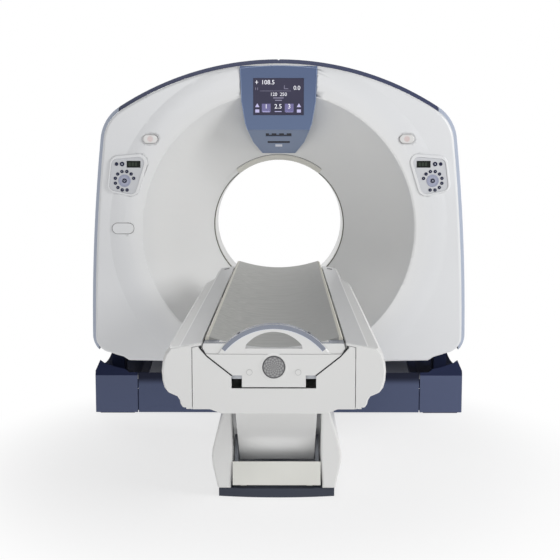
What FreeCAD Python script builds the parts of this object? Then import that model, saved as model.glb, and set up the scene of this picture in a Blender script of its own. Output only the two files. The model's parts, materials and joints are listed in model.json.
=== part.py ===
import FreeCAD, Part
import math
import os

# Computed tomography scanner: a tilting ring housing on a floor base, and a
# patient table that lifts on two pairs of arms and slides its cradle.
# Frame: origin on the floor below the centre of the bore, X to the right seen
# from the table, +Y away from the table, +Z up.  All sizes in millimetres.

V = FreeCAD.Vector

# ---- ring housing ----
ISO_Z = 974.0            # height of the bore centre and of the tilt axis
BORE_R = 350.0           # patient opening
HALF_DEPTH = 465.0       # centre plane to the front and rear faces
BAND_HALF = 400.0        # centre plane to the band edges
WALL = 6.0               # moulded cover wall
TOP_Z = 1832.0           # highest point of the housing
TOP_R = 1500.0           # radius of the arched top
CORNER_R = 215.0         # upper corner radius
HALF_W_MID = 947.0       # half width at the bore centre
TOP_TAPER = 39.0         # narrower by this where the upper corner ends
LOW_FLARE = 19.0         # wider by this at the lower end of the side
HALF_W_TOP = HALF_W_MID - TOP_TAPER
HALF_W_LOW = HALF_W_MID + LOW_FLARE
BOTTOM_Z = 264.0         # lowest point of the covers
COVER_INSET = 24.0       # front and rear covers stand this far inside the bands
EDGE_R = 16.0            # rounding of the cover edges
SCOOP_R = 692.0          # front edge of the conical scoop
SCOOP_END_Y = -20.0      # inner end of the scoop
RING_R = 860.0           # outer edge of the raised ring round the scoop
RING_RISE = 7.5
LINER_R = 660.0          # joint between the scoop liner and the front cover
FLARE_R = 480.0          # rear opening flare
SEAM_IN = 98.0           # joint between top band and side bands, from the corner
SEAM_X = HALF_W_TOP - SEAM_IN
SEAM_GAP = 1.5
BAND_END_Z = 345.0       # lower end of the side bands

# ---- display and control panels ----
BEZEL_RISE = 10.0
SCREEN_HALF_W = 127.0
SCREEN_DROP = 98.0       # housing top to the screen
SCREEN_H = 184.0
SCREEN_Z = (TOP_Z - SCREEN_DROP - SCREEN_H, TOP_Z - SCREEN_DROP)
BEZEL_OVER_BORE = 36.0
BEZEL_END_Z = ISO_Z + BORE_R + BEZEL_OVER_BORE
FOLD_H = 118.0           # the display housing folds back over this height
BEZEL_FOLD_Z = BEZEL_END_Z + FOLD_H
PANEL_IN = 169.0         # housing side to the dial centre
PANEL_X = HALF_W_MID - PANEL_IN
PANEL_Z = 1222.5
PANEL_RISE = 12.0
MEMBRANE_SINK = 3.0
KEY_RING_R = 48.0
KEY_R = 8.5
KEY_COUNT = 10
HUB_R = 11.0
HUB_TRAVEL = 2.0
STOP_X = 645.0
STOP_Z = 1432.0
STOP_LEN = 74.0
STOP_H = 43.0
STOP_TRAVEL = 3.0
BUTTON_GAP = 0.3         # play of a button in its guide
PLATE_IN = 157.0         # housing side to the plain oval plate
PLATE_X = PLATE_IN - HALF_W_MID
PLATE_Z = 981.0
PLATE_LEN = 109.0
PLATE_H = 53.0

# ---- turning parts ----
ROTOR_R = 650.0
DRUM_Y = (95.0, 125.0)
HUB_RING_R = (372.0, 425.0)
BEARING_Y = (140.0, 190.0)
BEARING_SPLIT_R = 425.0
FIT = 0.06               # radial running clearance
TUBE_RADIUS = 555.0      # isocentre to the focal spot
FOCUS_TO_DETECTOR = 950.0
DRIVE_AT = 560.0         # belt drive motor, offset from the axis in x and in z
PULLEY_R = 50.0
BELT_T = 4.0
BELT_Y = (100.0, 120.0)
BELT_PLAY = 0.3

# ---- tilt bearing and stand ----
TILT_GAP = 10.0          # stand to the swept path of the covers
PIN_R = 40.0
PIN_FLANGE_R = 75.0
UPRIGHT_IN = 22.0        # housing side to the outer face of an upright
UPRIGHT_T = 70.0
UPRIGHT_X = (HALF_W_MID - UPRIGHT_IN - UPRIGHT_T, HALF_W_MID - UPRIGHT_IN)
ARM_OUT_X = UPRIGHT_X[0] - 20.0
UPRIGHT_HALF = 52.0
BOSS_R = 100.0
BUSH_R = 65.0
BASE_HALF_Y = 392.0
TOWER_W = 221.0
TOWER_X = (HALF_W_LOW - 6.0 - TOWER_W, HALF_W_LOW - 6.0)
MIDDLE_HALF_X = TOWER_X[0] - 4.0
COVER_FOOT_Z = 8.0
BEAM_HALF_Y = BASE_HALF_Y - 22.0
BEAM_Z = (14.0, 140.0)
CROSS_TOP_Z = 115.0
ANCHOR_X = UPRIGHT_X[0] - 45.0
ANCHOR_Y = 265.0
ANCHOR_R = 11.0
LINK_HALF_X = 100.0
LINK_H = 40.0

# ---- table lift ----
PIVOT_Y = (-1612.0, -1112.0)
PIVOT_Z = 186.0
ARM_LEN = 760.0
ARM_REST = 37.6          # degrees above the floor at rest
ARM_HALF_H = 30.0
FRONT_ARM_X = (105.0, 130.0)
REAR_ARM_X = (55.0, 80.0)
BRACKET_X = (85.0, 100.0)
FOOT_BRACKET_X = (158.0, 172.0)
PIVOT_R = 20.0
CROSS_TUBE_R = 18.0
PLINTH_Y = (-1791.0, -830.0)
PLINTH_HALF_X = 231.0
PLINTH_H = 36.0
LEG_IN_X = 176.0
LEG_TOP_Z = 360.0
PANEL_TOP_Z = 147.0

# ---- table top ----
TABLE_Y = (-2811.0, -629.0)
FRAME_BEAM_X = (105.0, 165.0)
FRAME_Z = (690.0, 745.0)
COVER_T = 5.0
CRADLE_Y = (-2745.0, -450.0)
CRADLE_HALF = 210.0
CRADLE_RIM_Z = 815.0
CRADLE_SAG = 34.0
CRADLE_KEEL_Z = 738.0
CRADLE_KEEL_HALF = 60.0
RAIL_X = (125.0, 145.0)
RAIL_H = 10.0
RUN_GAP = 0.3

os.makedirs("parts", exist_ok=True)


# ---- helpers ----
def box(x0, x1, y0, y1, z0, z1):
    return Part.makeBox(x1 - x0, y1 - y0, z1 - z0, V(x0, y0, z0))


def rod_x(r, x0, x1, y, z):
    return Part.makeCylinder(r, x1 - x0, V(x0, y, z), V(1, 0, 0))


def rod_y(r, y0, y1, x, z):
    return Part.makeCylinder(r, y1 - y0, V(x, y0, z), V(0, 1, 0))


def rod_z(r, z0, z1, x, y):
    return Part.makeCylinder(r, z1 - z0, V(x, y, z0), V(0, 0, 1))


def join(shapes):
    shapes = list(shapes)
    if len(shapes) == 1:
        return shapes[0]
    return shapes[0].fuse(shapes[1:]).removeSplitter()


def minus(shape, *tools):
    for tool in tools:
        shape = shape.cut(tool)
    return shape


def flip(shape):
    """Mirror image on the other side of the middle plane."""
    return shape.mirror(V(0, 0, 0), V(1, 0, 0))


def flip_y(shape):
    return shape.mirror(V(0, 0, 0), V(0, 1, 0))


def face_of(points):
    return Part.Face(Part.makePolygon([V(*p) for p in points] + [V(*points[0])]))


def prism_x(yz, x0, x1):
    return face_of([(x0, y, z) for y, z in yz]).extrude(V(x1 - x0, 0, 0))


def prism_y(xz, y0, y1):
    return face_of([(x, y0, z) for x, z in xz]).extrude(V(0, y1 - y0, 0))


def prism_z(xy, z0, z1):
    return face_of([(x, y, z0) for x, y in xy]).extrude(V(0, 0, z1 - z0))


def mirrored(points):
    """Right half outline, top to bottom, closed with its mirror image."""
    return list(points) + [(-x, z) for x, z in reversed(points)]


def turned(ry, centre_z=ISO_Z):
    """Solid of revolution about the bore axis from (radius, y) corners."""
    face = face_of([(r, y, centre_z) for r, y in ry])
    return face.revolve(V(0, 0, centre_z), V(0, 1, 0), 360)


def tube_y(r_out, r_in, y0, y1, x=0.0, z=ISO_Z):
    return rod_y(r_out, y0, y1, x, z).cut(rod_y(r_in, y0 - 1, y1 + 1, x, z))


def stadium(length, height, y0, y1, x, z):
    """Oval block lying along x, with its axis along y."""
    r = height / 2.0
    run = length / 2.0 - r
    mid = box(x - run, x + run, y0, y1, z - r, z + r)
    return join([mid, rod_y(r, y0, y1, x - run, z), rod_y(r, y0, y1, x + run, z)])


def edges_at_y(solid, y):
    found = []
    for edge in solid.Edges:
        b = edge.BoundBox
        if abs(b.YMin - y) < 0.01 and abs(b.YMax - y) < 0.01:
            found.append(edge)
    return found


def soften(solid, radius, edges):
    """Round the edges, or bevel them where the rounding has no room."""
    for maker in ("makeFillet", "makeChamfer"):
        for size in (radius, radius * 0.6, radius * 0.3):
            try:
                result = getattr(solid, maker)(size, edges)
                if result.isValid() and result.Volume > 0:
                    return result
            except Exception:
                pass
    return solid


def grown(points, step):
    """Outline moved outwards by step, corners kept sharp."""
    count = len(points)
    area = 0.0
    for i in range(count):
        x0, z0 = points[i]
        x1, z1 = points[(i + 1) % count]
        area += x0 * z1 - x1 * z0
    side = 1.0 if area > 0 else -1.0
    result = []
    for i in range(count):
        px, pz = points[i - 1]
        cx, cz = points[i]
        nx, nz = points[(i + 1) % count]
        ax, az = cx - px, cz - pz
        bx, bz = nx - cx, nz - cz
        la, lb = math.hypot(ax, az), math.hypot(bx, bz)
        n1 = (az / la * side, -ax / la * side)
        n2 = (bz / lb * side, -bx / lb * side)
        dot = 1.0 + n1[0] * n2[0] + n1[1] * n2[1]
        result.append((cx + (n1[0] + n2[0]) * step / dot, cz + (n1[1] + n2[1]) * step / dot))
    return result


def save(name, shape):
    shape.exportStep("parts/" + name + ".step")


# ---- outline of the housing ----
def gantry_prism(inset, y0, y1):
    """Housing outline moved inwards by inset, drawn from y0 to y1."""
    arch_z = TOP_Z - TOP_R
    side = V(0.9963, 0, 0.0861)
    cx = HALF_W_TOP - CORNER_R * side.x
    cz = arch_z + math.sqrt((TOP_R - CORNER_R) ** 2 - cx ** 2)
    up = V(cx, 0, cz - arch_z)
    up.normalize()
    mid = V(up.x + side.x, 0, up.z + side.z)
    mid.normalize()
    arch = V(0, y0, arch_z)
    corner = V(cx, y0, cz)
    top_mid = V(up.x, 0, up.z + 1.0)
    top_mid.normalize()
    i = inset
    p_top = V(0, y0, TOP_Z - i)
    p_arch = arch + top_mid * (TOP_R - i)
    p1 = arch + up * (TOP_R - i)
    p1m = corner + mid * (CORNER_R - i)
    p2 = corner + side * (CORNER_R - i)
    p2m = V(HALF_W_MID - i, y0, ISO_Z + 6)
    p3 = V(HALF_W_LOW - i, y0, BOTTOM_Z + 186)
    p4 = V(HALF_W_LOW - i, y0, BOTTOM_Z + 156)
    p4m = V(HALF_W_LOW - 26 - 0.72 * i, y0, BOTTOM_Z + 86 + 0.7 * i)
    p5 = V(HALF_W_LOW - 86 - 0.3 * i, y0, BOTTOM_Z + 49 + i)
    p6 = V(HALF_W_LOW - 161 - 0.2 * i, y0, BOTTOM_Z + 28 + i)
    p7 = V(HALF_W_LOW - 183 - 0.5 * i, y0, BOTTOM_Z + 9 + i)
    p_bottom = V(0, y0, BOTTOM_Z + i)

    def left(p):
        return V(-p.x, p.y, p.z)

    edges = [
        Part.Arc(p_top, p_arch, p1).toShape(),
        Part.Arc(p1, p1m, p2).toShape(),
        Part.Arc(p2, p2m, p3).toShape(),
        Part.makeLine(p3, p4),
        Part.Arc(p4, p4m, p5).toShape(),
        Part.makeLine(p5, p6),
        Part.makeLine(p6, p7),
        Part.Arc(p7, p_bottom, left(p7)).toShape(),
        Part.makeLine(left(p7), left(p6)),
        Part.makeLine(left(p6), left(p5)),
        Part.Arc(left(p5), left(p4m), left(p4)).toShape(),
        Part.makeLine(left(p4), left(p3)),
        Part.Arc(left(p3), left(p2m), left(p2)).toShape(),
        Part.Arc(left(p2), left(p1m), left(p1)).toShape(),
        Part.Arc(left(p1), left(p_arch), p_top).toShape(),
    ]
    return Part.Face(Part.Wire(edges)).extrude(V(0, y1 - y0, 0))


def end_cover_shell():
    """Open dish of a front or rear cover, drawn at the front."""
    front = -HALF_DEPTH
    outer = gantry_prism(COVER_INSET, front, -BAND_HALF)
    outer = soften(outer, EDGE_R, edges_at_y(outer, front))
    inner = gantry_prism(COVER_INSET + WALL, front + WALL, -BAND_HALF + 1)
    inner = soften(inner, EDGE_R - WALL, edges_at_y(inner, front + WALL))
    shell = outer.cut(inner)
    # room for the fixed uprights when the housing leans back or forward
    low = BOTTOM_Z + COVER_INSET + 130
    for side in (-1, 1):
        x0, x1 = sorted((side * (UPRIGHT_X[0] - 8), side * (UPRIGHT_X[1] + 8)))
        shell = shell.cut(box(x0, x1, front + WALL, -BAND_HALF + 1, BOTTOM_Z - 20, low))
    return shell


# ---- housing covers ----
FRONT = -HALF_DEPTH
SLOPE_R = SCOOP_R - BORE_R
SLOPE_Y = SCOOP_END_Y - FRONT
SLOPE_L = math.hypot(SLOPE_R, SLOPE_Y)
WALL_RADIAL = WALL * SLOPE_L / SLOPE_Y

# display housing outline in the front view, right half from the top down
bezel_half = [
    (SCREEN_HALF_W + 67, TOP_Z - 39),
    (SCREEN_HALF_W + 60, SCREEN_Z[1] - 116),
    (SCREEN_HALF_W + 42, SCREEN_Z[0] - 40),
    (SCREEN_HALF_W + 6, (BEZEL_FOLD_Z + BEZEL_END_Z) / 2 - 1),
    (SCREEN_HALF_W - 38, BEZEL_END_Z),
]
bezel_outline = mirrored(bezel_half)

# control panel membrane, left panel, measured from the dial centre
membrane = [(-61, 108), (112, 123), (51, -72), (-81, -46)]
membrane_left = [(x - PANEL_X, z + PANEL_Z) for x, z in membrane]
RIM_W = 14.0
MEMBRANE_CORNER_R = 30.0
housing_left = [(x + 3, z + 3) for x, z in grown(membrane_left, RIM_W)]


def rounded_prism(points, radius, y0, y1):
    """Prism along y with its corners rounded in the front view."""
    solid = prism_y(points, y0, y1)
    return soften(solid, radius, [e for e in solid.Edges if e.BoundBox.YLength > abs(y1 - y0) - 0.01])



stop_seats = []
stop_holes = []
for side in (-1, 1):
    stop_seats.append(stadium(STOP_LEN + 16, STOP_H + 16, FRONT - 20, FRONT, side * STOP_X, STOP_Z))
    stop_holes.append(stadium(STOP_LEN + 2 * BUTTON_GAP, STOP_H + 2 * BUTTON_GAP,
                              FRONT - 20, FRONT + 40, side * STOP_X, STOP_Z))
plate_pocket = stadium(PLATE_LEN + 5, PLATE_H + 5, FRONT - 20, FRONT, PLATE_X, PLATE_Z)
panel_block_left = rounded_prism(housing_left, MEMBRANE_CORNER_R + RIM_W, FRONT - 20, FRONT)
bezel_block = prism_y(bezel_outline, FRONT - 20, FRONT)

# scoop and raised ring are one turned wall
crease = 14.0
c_in = (SCOOP_R - crease * SLOPE_R / SLOPE_L, FRONT + crease * SLOPE_Y / SLOPE_L)
c_out = (SCOOP_R + crease, FRONT - RING_RISE * 0.45)
c_mid = (SCOOP_R - crease * 0.12, FRONT + crease * 0.10)
ring_mid = ((SCOOP_R + RING_R) / 2, FRONT - RING_RISE)


def at_r(p):
    return V(p[0], p[1], ISO_Z)


scoop_edges = [
    Part.makeLine(at_r((BORE_R, SCOOP_END_Y)), at_r(c_in)),
    Part.Arc(at_r(c_in), at_r(c_mid), at_r(c_out)).toShape(),
    Part.Arc(at_r(c_out), at_r(ring_mid), at_r((RING_R, FRONT))).toShape(),
    Part.makeLine(at_r((RING_R, FRONT)), at_r((RING_R, FRONT + WALL))),
    Part.makeLine(at_r((RING_R, FRONT + WALL)), at_r((SCOOP_R + WALL_RADIAL, FRONT + WALL))),
    Part.makeLine(at_r((SCOOP_R + WALL_RADIAL, FRONT + WALL)), at_r((BORE_R + WALL_RADIAL, SCOOP_END_Y))),
    Part.makeLine(at_r((BORE_R + WALL_RADIAL, SCOOP_END_Y)), at_r((BORE_R, SCOOP_END_Y))),
]
scoop = Part.Face(Part.Wire(scoop_edges)).revolve(V(0, 0, ISO_Z), V(0, 1, 0), 360)
scoop = scoop.common(gantry_prism(COVER_INSET + EDGE_R, FRONT - 30, 0))
ring_cuts = [bezel_block, panel_block_left, flip(panel_block_left), plate_pocket] + stop_seats
scoop = minus(scoop, *ring_cuts)

front_cover = end_cover_shell().cut(rod_y(SCOOP_R, FRONT - 1, FRONT + WALL + 1, 0, ISO_Z))
front_cover = join([front_cover, scoop])
front_cover = minus(front_cover, *stop_holes)
liner_zone = rod_y(LINER_R, FRONT - 30, 1, 0, ISO_Z)
scoop_liner = front_cover.common(liner_zone)
save("scoop_liner", scoop_liner)
save("front_cover", front_cover.cut(liner_zone))

rear_shell = flip_y(end_cover_shell()).cut(
    rod_y(FLARE_R, HALF_DEPTH - WALL - 1, HALF_DEPTH + 1, 0, ISO_Z))
REAR_TUBE_Y = 250.0
rear_liner = turned([
    (BORE_R, -SCOOP_END_Y), (BORE_R + WALL, -SCOOP_END_Y), (BORE_R + WALL, REAR_TUBE_Y),
    (FLARE_R + WALL, HALF_DEPTH), (FLARE_R, HALF_DEPTH), (BORE_R, REAR_TUBE_Y + 6),
])
rear_cover = join([rear_shell, rear_liner])
save("rear_cover", rear_cover)

save("scan_window", tube_y(BORE_R + 3, BORE_R, SCOOP_END_Y, -SCOOP_END_Y))

# bands between the two covers, with an inward lip at each edge
bands = gantry_prism(0, -BAND_HALF, BAND_HALF).cut(
    gantry_prism(WALL, -BAND_HALF + WALL, BAND_HALF - WALL))
bands = bands.cut(gantry_prism(COVER_INSET + WALL + 2, -BAND_HALF - 1, BAND_HALF + 1))
top_band = bands.common(box(-SEAM_X + SEAM_GAP, SEAM_X - SEAM_GAP, -HALF_DEPTH, HALF_DEPTH,
                            ISO_Z, TOP_Z + 1))
notch = prism_y([(-9, TOP_Z + 1), (9, TOP_Z + 1), (0, TOP_Z - 5)], -BAND_HALF - 1, -BAND_HALF + 60)
save("top_band", top_band.cut(notch))
far_x = HALF_W_LOW + HALF_W_MID
side_bands = bands.common(box(-far_x, far_x, -HALF_DEPTH, HALF_DEPTH, BAND_END_Z, TOP_Z))
side_bands = side_bands.cut(box(-SEAM_X - SEAM_GAP, SEAM_X + SEAM_GAP, -HALF_DEPTH, HALF_DEPTH,
                                BAND_END_Z - 1, TOP_Z + 1))
keep_out = []
for side in (-1, 1):
    x0, x1 = sorted((side * (UPRIGHT_X[0] - 20), side * (UPRIGHT_X[1] + 9)))
    keep_out.append(box(x0, x1, -HALF_DEPTH, HALF_DEPTH, BAND_END_Z - 1, BAND_END_Z + 60))
side_bands = minus(side_bands, *keep_out)
save("side_bands", side_bands)

# beige strip along the upper inner edge of the scoop
strip_t = 3.0
strip_span = 38.0
strip_r = (BORE_R + 2.0, BORE_R + 27.0)


def scoop_y(r):
    """Depth of the scoop surface at radius r."""
    return SCOOP_END_Y - (r - BORE_R) * SLOPE_Y / SLOPE_R


strip = turned([
    (strip_r[0], scoop_y(strip_r[0])), (strip_r[1], scoop_y(strip_r[1])),
    (strip_r[1] - 2, scoop_y(strip_r[1]) - strip_t), (strip_r[0] - 2, scoop_y(strip_r[0]) - strip_t),
])
spread = math.tan(math.radians(strip_span)) * 500
wedge = prism_y([(0, ISO_Z), (-spread, ISO_Z + 500), (spread, ISO_Z + 500)], -300, 0)
save("bore_lip_strip", strip.common(wedge))

# display housing: flat front, folded back into the scoop at the bottom
body = prism_y(bezel_outline, FRONT - BEZEL_RISE, 0)
arch_cap = rod_y(TOP_R - COVER_INSET - 12, FRONT - 40, 1, 0, TOP_Z - TOP_R)
crown = box(-SCREEN_HALF_W - 67, SCREEN_HALF_W + 67, FRONT - BEZEL_RISE, FRONT, SCREEN_Z[1] + 20, TOP_Z)
crown = crown.common(arch_cap)
body = join([body, crown])
fold_y = scoop_y(BEZEL_END_Z - ISO_Z) - 12
under = prism_x([
    (FRONT - BEZEL_RISE - 1, BEZEL_FOLD_Z), (fold_y, BEZEL_END_Z), (0, BEZEL_END_Z),
    (0, BEZEL_END_Z - 60), (FRONT - BEZEL_RISE - 1, BEZEL_END_Z - 60),
], -SCOOP_R, SCOOP_R)
cover_side = turned([
    (BORE_R, SCOOP_END_Y), (SCOOP_R, FRONT), (SCOOP_R + 600, FRONT),
    (SCOOP_R + 600, 10), (BORE_R, 10),
])
body = minus(body, under, cover_side, front_cover)
front_edges = [e for e in edges_at_y(body, FRONT - BEZEL_RISE)]
body = soften(body, 5.0, front_edges)
screen_room = box(-SCREEN_HALF_W, SCREEN_HALF_W, FRONT - 20, FRONT - BEZEL_RISE + 8,
                  SCREEN_Z[0], SCREEN_Z[1])
# two long slots in the folded part
lean = math.atan2(BEZEL_FOLD_Z - BEZEL_END_Z, fold_y - FRONT + BEZEL_RISE)
fold_len = math.hypot(BEZEL_FOLD_Z - BEZEL_END_Z, fold_y - FRONT + BEZEL_RISE)


def on_fold(part_way, half_w, height):
    """Slot cutter lying on the folded face, part_way from its top."""
    y = FRONT - BEZEL_RISE + math.cos(lean) * fold_len * part_way
    z = BEZEL_FOLD_Z - math.sin(lean) * fold_len * part_way
    tool = Part.makeBox(2 * half_w, height, 8, V(-half_w, -height / 2, -4))
    tool.rotate(V(0, 0, 0), V(1, 0, 0), -math.degrees(lean))
    tool.translate(V(0, y, z))
    return tool


body = minus(body, screen_room, on_fold(0.22, 67, 40), on_fold(0.52, 58, 26))
save("display_bezel", body)
save("display_screen", box(-SCREEN_HALF_W + 1, SCREEN_HALF_W - 1, FRONT - BEZEL_RISE + 1.5,
                           FRONT - BEZEL_RISE + 8, SCREEN_Z[0] + 1, SCREEN_Z[1] - 1))

# control panels: raised rim, sunk membrane, dial ring and a small display
panel_front = FRONT - PANEL_RISE
membrane_y = panel_front + MEMBRANE_SINK
panel = rounded_prism(housing_left, MEMBRANE_CORNER_R + RIM_W, panel_front, FRONT)
panel = soften(panel, 6.0, edges_at_y(panel, panel_front))
panel = panel.cut(rounded_prism(membrane_left, MEMBRANE_CORNER_R, panel_front - 1, membrane_y))
dial_ring = tube_y(31, 26, membrane_y - 2, membrane_y + 1, -PANEL_X, PANEL_Z)
lcd = box(-PANEL_X + 12, -PANEL_X + 82, membrane_y - 1.5, membrane_y + 1, PANEL_Z + 66, PANEL_Z + 100)
panel = join([panel, dial_ring, lcd])
hub_hole = rod_y(HUB_R + BUTTON_GAP, panel_front - 1, membrane_y + 4, -PANEL_X, PANEL_Z)
panel = panel.cut(hub_hole)
save("control_panel_left", panel)
save("control_panel_right", flip(panel))
keys = []
for k in range(KEY_COUNT):
    a = math.radians(15 + 30 * k)
    keys.append(rod_y(KEY_R, membrane_y - 2.5, membrane_y, -PANEL_X + KEY_RING_R * math.cos(a),
                      PANEL_Z + KEY_RING_R * math.sin(a)))
keys.append(rod_y(9.0, membrane_y - 2.5, membrane_y, -PANEL_X - 39, PANEL_Z + 84))
keys.append(rod_y(11.5, membrane_y - 2.5, membrane_y, -PANEL_X - 11, PANEL_Z + 84))
keys = [soften(key, 1.2, edges_at_y(key, membrane_y - 2.5)) for key in keys]
save("panel_keys", Part.makeCompound(keys + [flip(key) for key in keys]))
hub = rod_y(HUB_R, membrane_y - 5, membrane_y + 4 - HUB_TRAVEL, -PANEL_X, PANEL_Z)
hub = soften(hub, 2.0, edges_at_y(hub, membrane_y - 5))
save("hub_button_left", hub)
save("hub_button_right", flip(hub))

cap_y = FRONT - RING_RISE - 7
for side, name in ((-1, "stop_button_left"), (1, "stop_button_right")):
    cap = stadium(STOP_LEN, STOP_H, cap_y, FRONT + 4, side * STOP_X, STOP_Z)
    cap = soften(cap, 5.0, edges_at_y(cap, cap_y))
    catch_y = FRONT + WALL + BUTTON_GAP
    catch = stadium(STOP_LEN + 8, STOP_H + 8, catch_y, catch_y + 3, side * STOP_X, STOP_Z)
    save(name, join([cap, stadium(STOP_LEN, STOP_H, FRONT, catch_y, side * STOP_X, STOP_Z), catch]))

plate = stadium(PLATE_LEN, PLATE_H, FRONT - RING_RISE - 1, FRONT, PLATE_X, PLATE_Z)
save("cover_plate", soften(plate, 2.0, edges_at_y(plate, FRONT - RING_RISE - 1)))


# ---- tilting frame and turning parts ----
FRAME_Y = (BEARING_Y[1], BEARING_Y[1] + 45.0)
FRAME_R = (400.0, ROTOR_R + 40.0)
ARM_HALF_Z = 110.0
ARM_FRONT_Y = -60.0
STANDOFF_R = 15.0
STANDOFF_AT = 620.0
drive_x = DRIVE_AT
drive_z = ISO_Z + DRIVE_AT

frame_parts = [tube_y(FRAME_R[1], FRAME_R[0], FRAME_Y[0], FRAME_Y[1])]
for side in (-1, 1):
    x0, x1 = sorted((side * FRAME_R[1], side * ARM_OUT_X))
    frame_parts.append(box(x0, x1, ARM_FRONT_Y, FRAME_Y[1], ISO_Z - ARM_HALF_Z, ISO_Z + ARM_HALF_Z))
    x0, x1 = sorted((side * (FRAME_R[1] - 90), side * ARM_OUT_X))
    frame_parts.append(box(x0, x1, FRAME_Y[0], FRAME_Y[1], ISO_Z - ARM_HALF_Z, ISO_Z + ARM_HALF_Z))
    for dz in (-80, 80):
        post_x = side * (FRAME_R[1] + ARM_OUT_X) / 2
        frame_parts.append(rod_y(STANDOFF_R, FRONT + WALL, ARM_FRONT_Y, post_x, ISO_Z + dz))
for k in range(4):
    a = math.radians(45 + 90 * k)
    frame_parts.append(rod_y(STANDOFF_R, FRAME_Y[1], HALF_DEPTH - WALL, STANDOFF_AT * math.cos(a),
                             ISO_Z + STANDOFF_AT * math.sin(a)))
lug_half = 55.0
d = math.sqrt(0.5)
near, far = FRAME_R[1] - 60, DRIVE_AT / d
lug = prism_y([
    (near * d - lug_half * d, ISO_Z + near * d + lug_half * d),
    (far * d - lug_half * d, ISO_Z + far * d + lug_half * d),
    (far * d + lug_half * d, ISO_Z + far * d - lug_half * d),
    (near * d + lug_half * d, ISO_Z + near * d - lug_half * d),
], FRAME_Y[0], FRAME_Y[1])
frame_parts += [lug, rod_y(lug_half, FRAME_Y[0], FRAME_Y[1], drive_x, drive_z)]
save("tilt_frame", join(frame_parts))

save("bearing_outer_ring", tube_y(HUB_RING_R[1] + 50, BEARING_SPLIT_R + FIT, BEARING_Y[0], BEARING_Y[1]))
save("bearing_inner_ring", tube_y(BEARING_SPLIT_R, BEARING_SPLIT_R - 40, BEARING_Y[0], BEARING_Y[1] - 2))
pins = []
for side in (-1, 1):
    x0, x1 = sorted((side * ARM_OUT_X, side * (ARM_OUT_X + 10)))
    x2, x3 = sorted((side * ARM_OUT_X, side * (UPRIGHT_X[1] + 3)))
    pins.append(join([rod_x(PIN_FLANGE_R, x0, x1, 0, ISO_Z), rod_x(PIN_R, x2, x3, 0, ISO_Z)]))
save("trunnion_pins", Part.makeCompound(pins))

drum = tube_y(ROTOR_R, HUB_RING_R[0], DRUM_Y[0], DRUM_Y[1])
save("rotor_drum", join([drum, tube_y(HUB_RING_R[1], HUB_RING_R[0], DRUM_Y[1], BEARING_Y[0])]))
SLIP_T = 20.0
save("slip_ring", tube_y(ROTOR_R - 10, HUB_RING_R[1] + 55, DRUM_Y[1], DRUM_Y[1] + SLIP_T))
brush_front = DRUM_Y[1] + SLIP_T + BUTTON_GAP
brush = box(-470, -370, brush_front, FRAME_Y[0], ISO_Z + 380, ISO_Z + 460)
save("brush_block", brush)

tube = rod_y(85, -140, DRUM_Y[0], 0, ISO_Z + TUBE_RADIUS)
port = box(-30, 30, -45, 45, ISO_Z + TUBE_RADIUS - 85, ISO_Z + TUBE_RADIUS)
save("xray_tube", join([tube, port]))
collimator = box(-70, 70, -45, DRUM_Y[0], ISO_Z + 398, ISO_Z + TUBE_RADIUS - 86)
save("collimator", collimator.cut(box(-40, 40, -15, 15, ISO_Z + 390, ISO_Z + 480)))


def sector(r_in, r_out, half_angle, y0, y1):
    """Part of a ring about the focal spot, below it."""
    z = ISO_Z + TUBE_RADIUS
    reach = r_out + 60
    t = math.tan(math.radians(half_angle)) * reach
    return tube_y(r_out, r_in, y0, y1, 0, z).common(
        prism_y([(0, z), (-t, z - reach), (t, z - reach)], y0 - 1, y1 + 1))


detector = join([
    sector(FOCUS_TO_DETECTOR, FOCUS_TO_DETECTOR + 60, 26, -40, DRUM_Y[0]),
    sector(FOCUS_TO_DETECTOR + 59, FOCUS_TO_DETECTOR + 110, 19.5, -40, DRUM_Y[0]),
])
save("detector_array", detector)
generator = box(-ROTOR_R + 20, -BORE_R - 50, -60, DRUM_Y[0], ISO_Z - 120, ISO_Z + 120)
save("hv_generator", generator)
save("hv_tank", join([
    box(BORE_R + 50, ROTOR_R - 20, -60, DRUM_Y[0], ISO_Z - 120, ISO_Z + 60),
    rod_z(45, ISO_Z + 59, ISO_Z + 110, BORE_R + 140, 20),
]))

shaft_r = 12.0
pulley = join([
    rod_y(PULLEY_R, BELT_Y[0] - 2, BELT_Y[1] + 2, drive_x, drive_z),
    rod_y(shaft_r, BELT_Y[1], FRAME_Y[0] - 6, drive_x, drive_z),
])
save("motor_pulley", pulley)
motor = rod_y(48, BELT_Y[1] + 10, FRAME_Y[0], drive_x, drive_z)
save("rotor_motor", motor.cut(rod_y(shaft_r + FIT, BELT_Y[1], FRAME_Y[0] - 4, drive_x, drive_z)))


def belt_hull(big, small):
    """Filled outline of a belt round both wheels."""
    dist = DRIVE_AT / d
    lean_a = math.acos((big - small) / dist)
    corners = []
    for sign in (1, -1):
        a = math.radians(45) + sign * lean_a
        corners.append([
            (big * math.cos(a), ISO_Z + big * math.sin(a)),
            (drive_x + small * math.cos(a), drive_z + small * math.sin(a)),
        ])
    bridge = prism_y([corners[0][0], corners[0][1], corners[1][1], corners[1][0]], BELT_Y[0], BELT_Y[1])
    return join([rod_y(big, BELT_Y[0], BELT_Y[1], 0, ISO_Z),
                 rod_y(small, BELT_Y[0], BELT_Y[1], drive_x, drive_z), bridge])


inner_big, inner_small = ROTOR_R + BELT_PLAY, PULLEY_R + BELT_PLAY
save("drive_belt", belt_hull(inner_big + BELT_T, inner_small + BELT_T).cut(
    belt_hull(inner_big, inner_small)))

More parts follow.
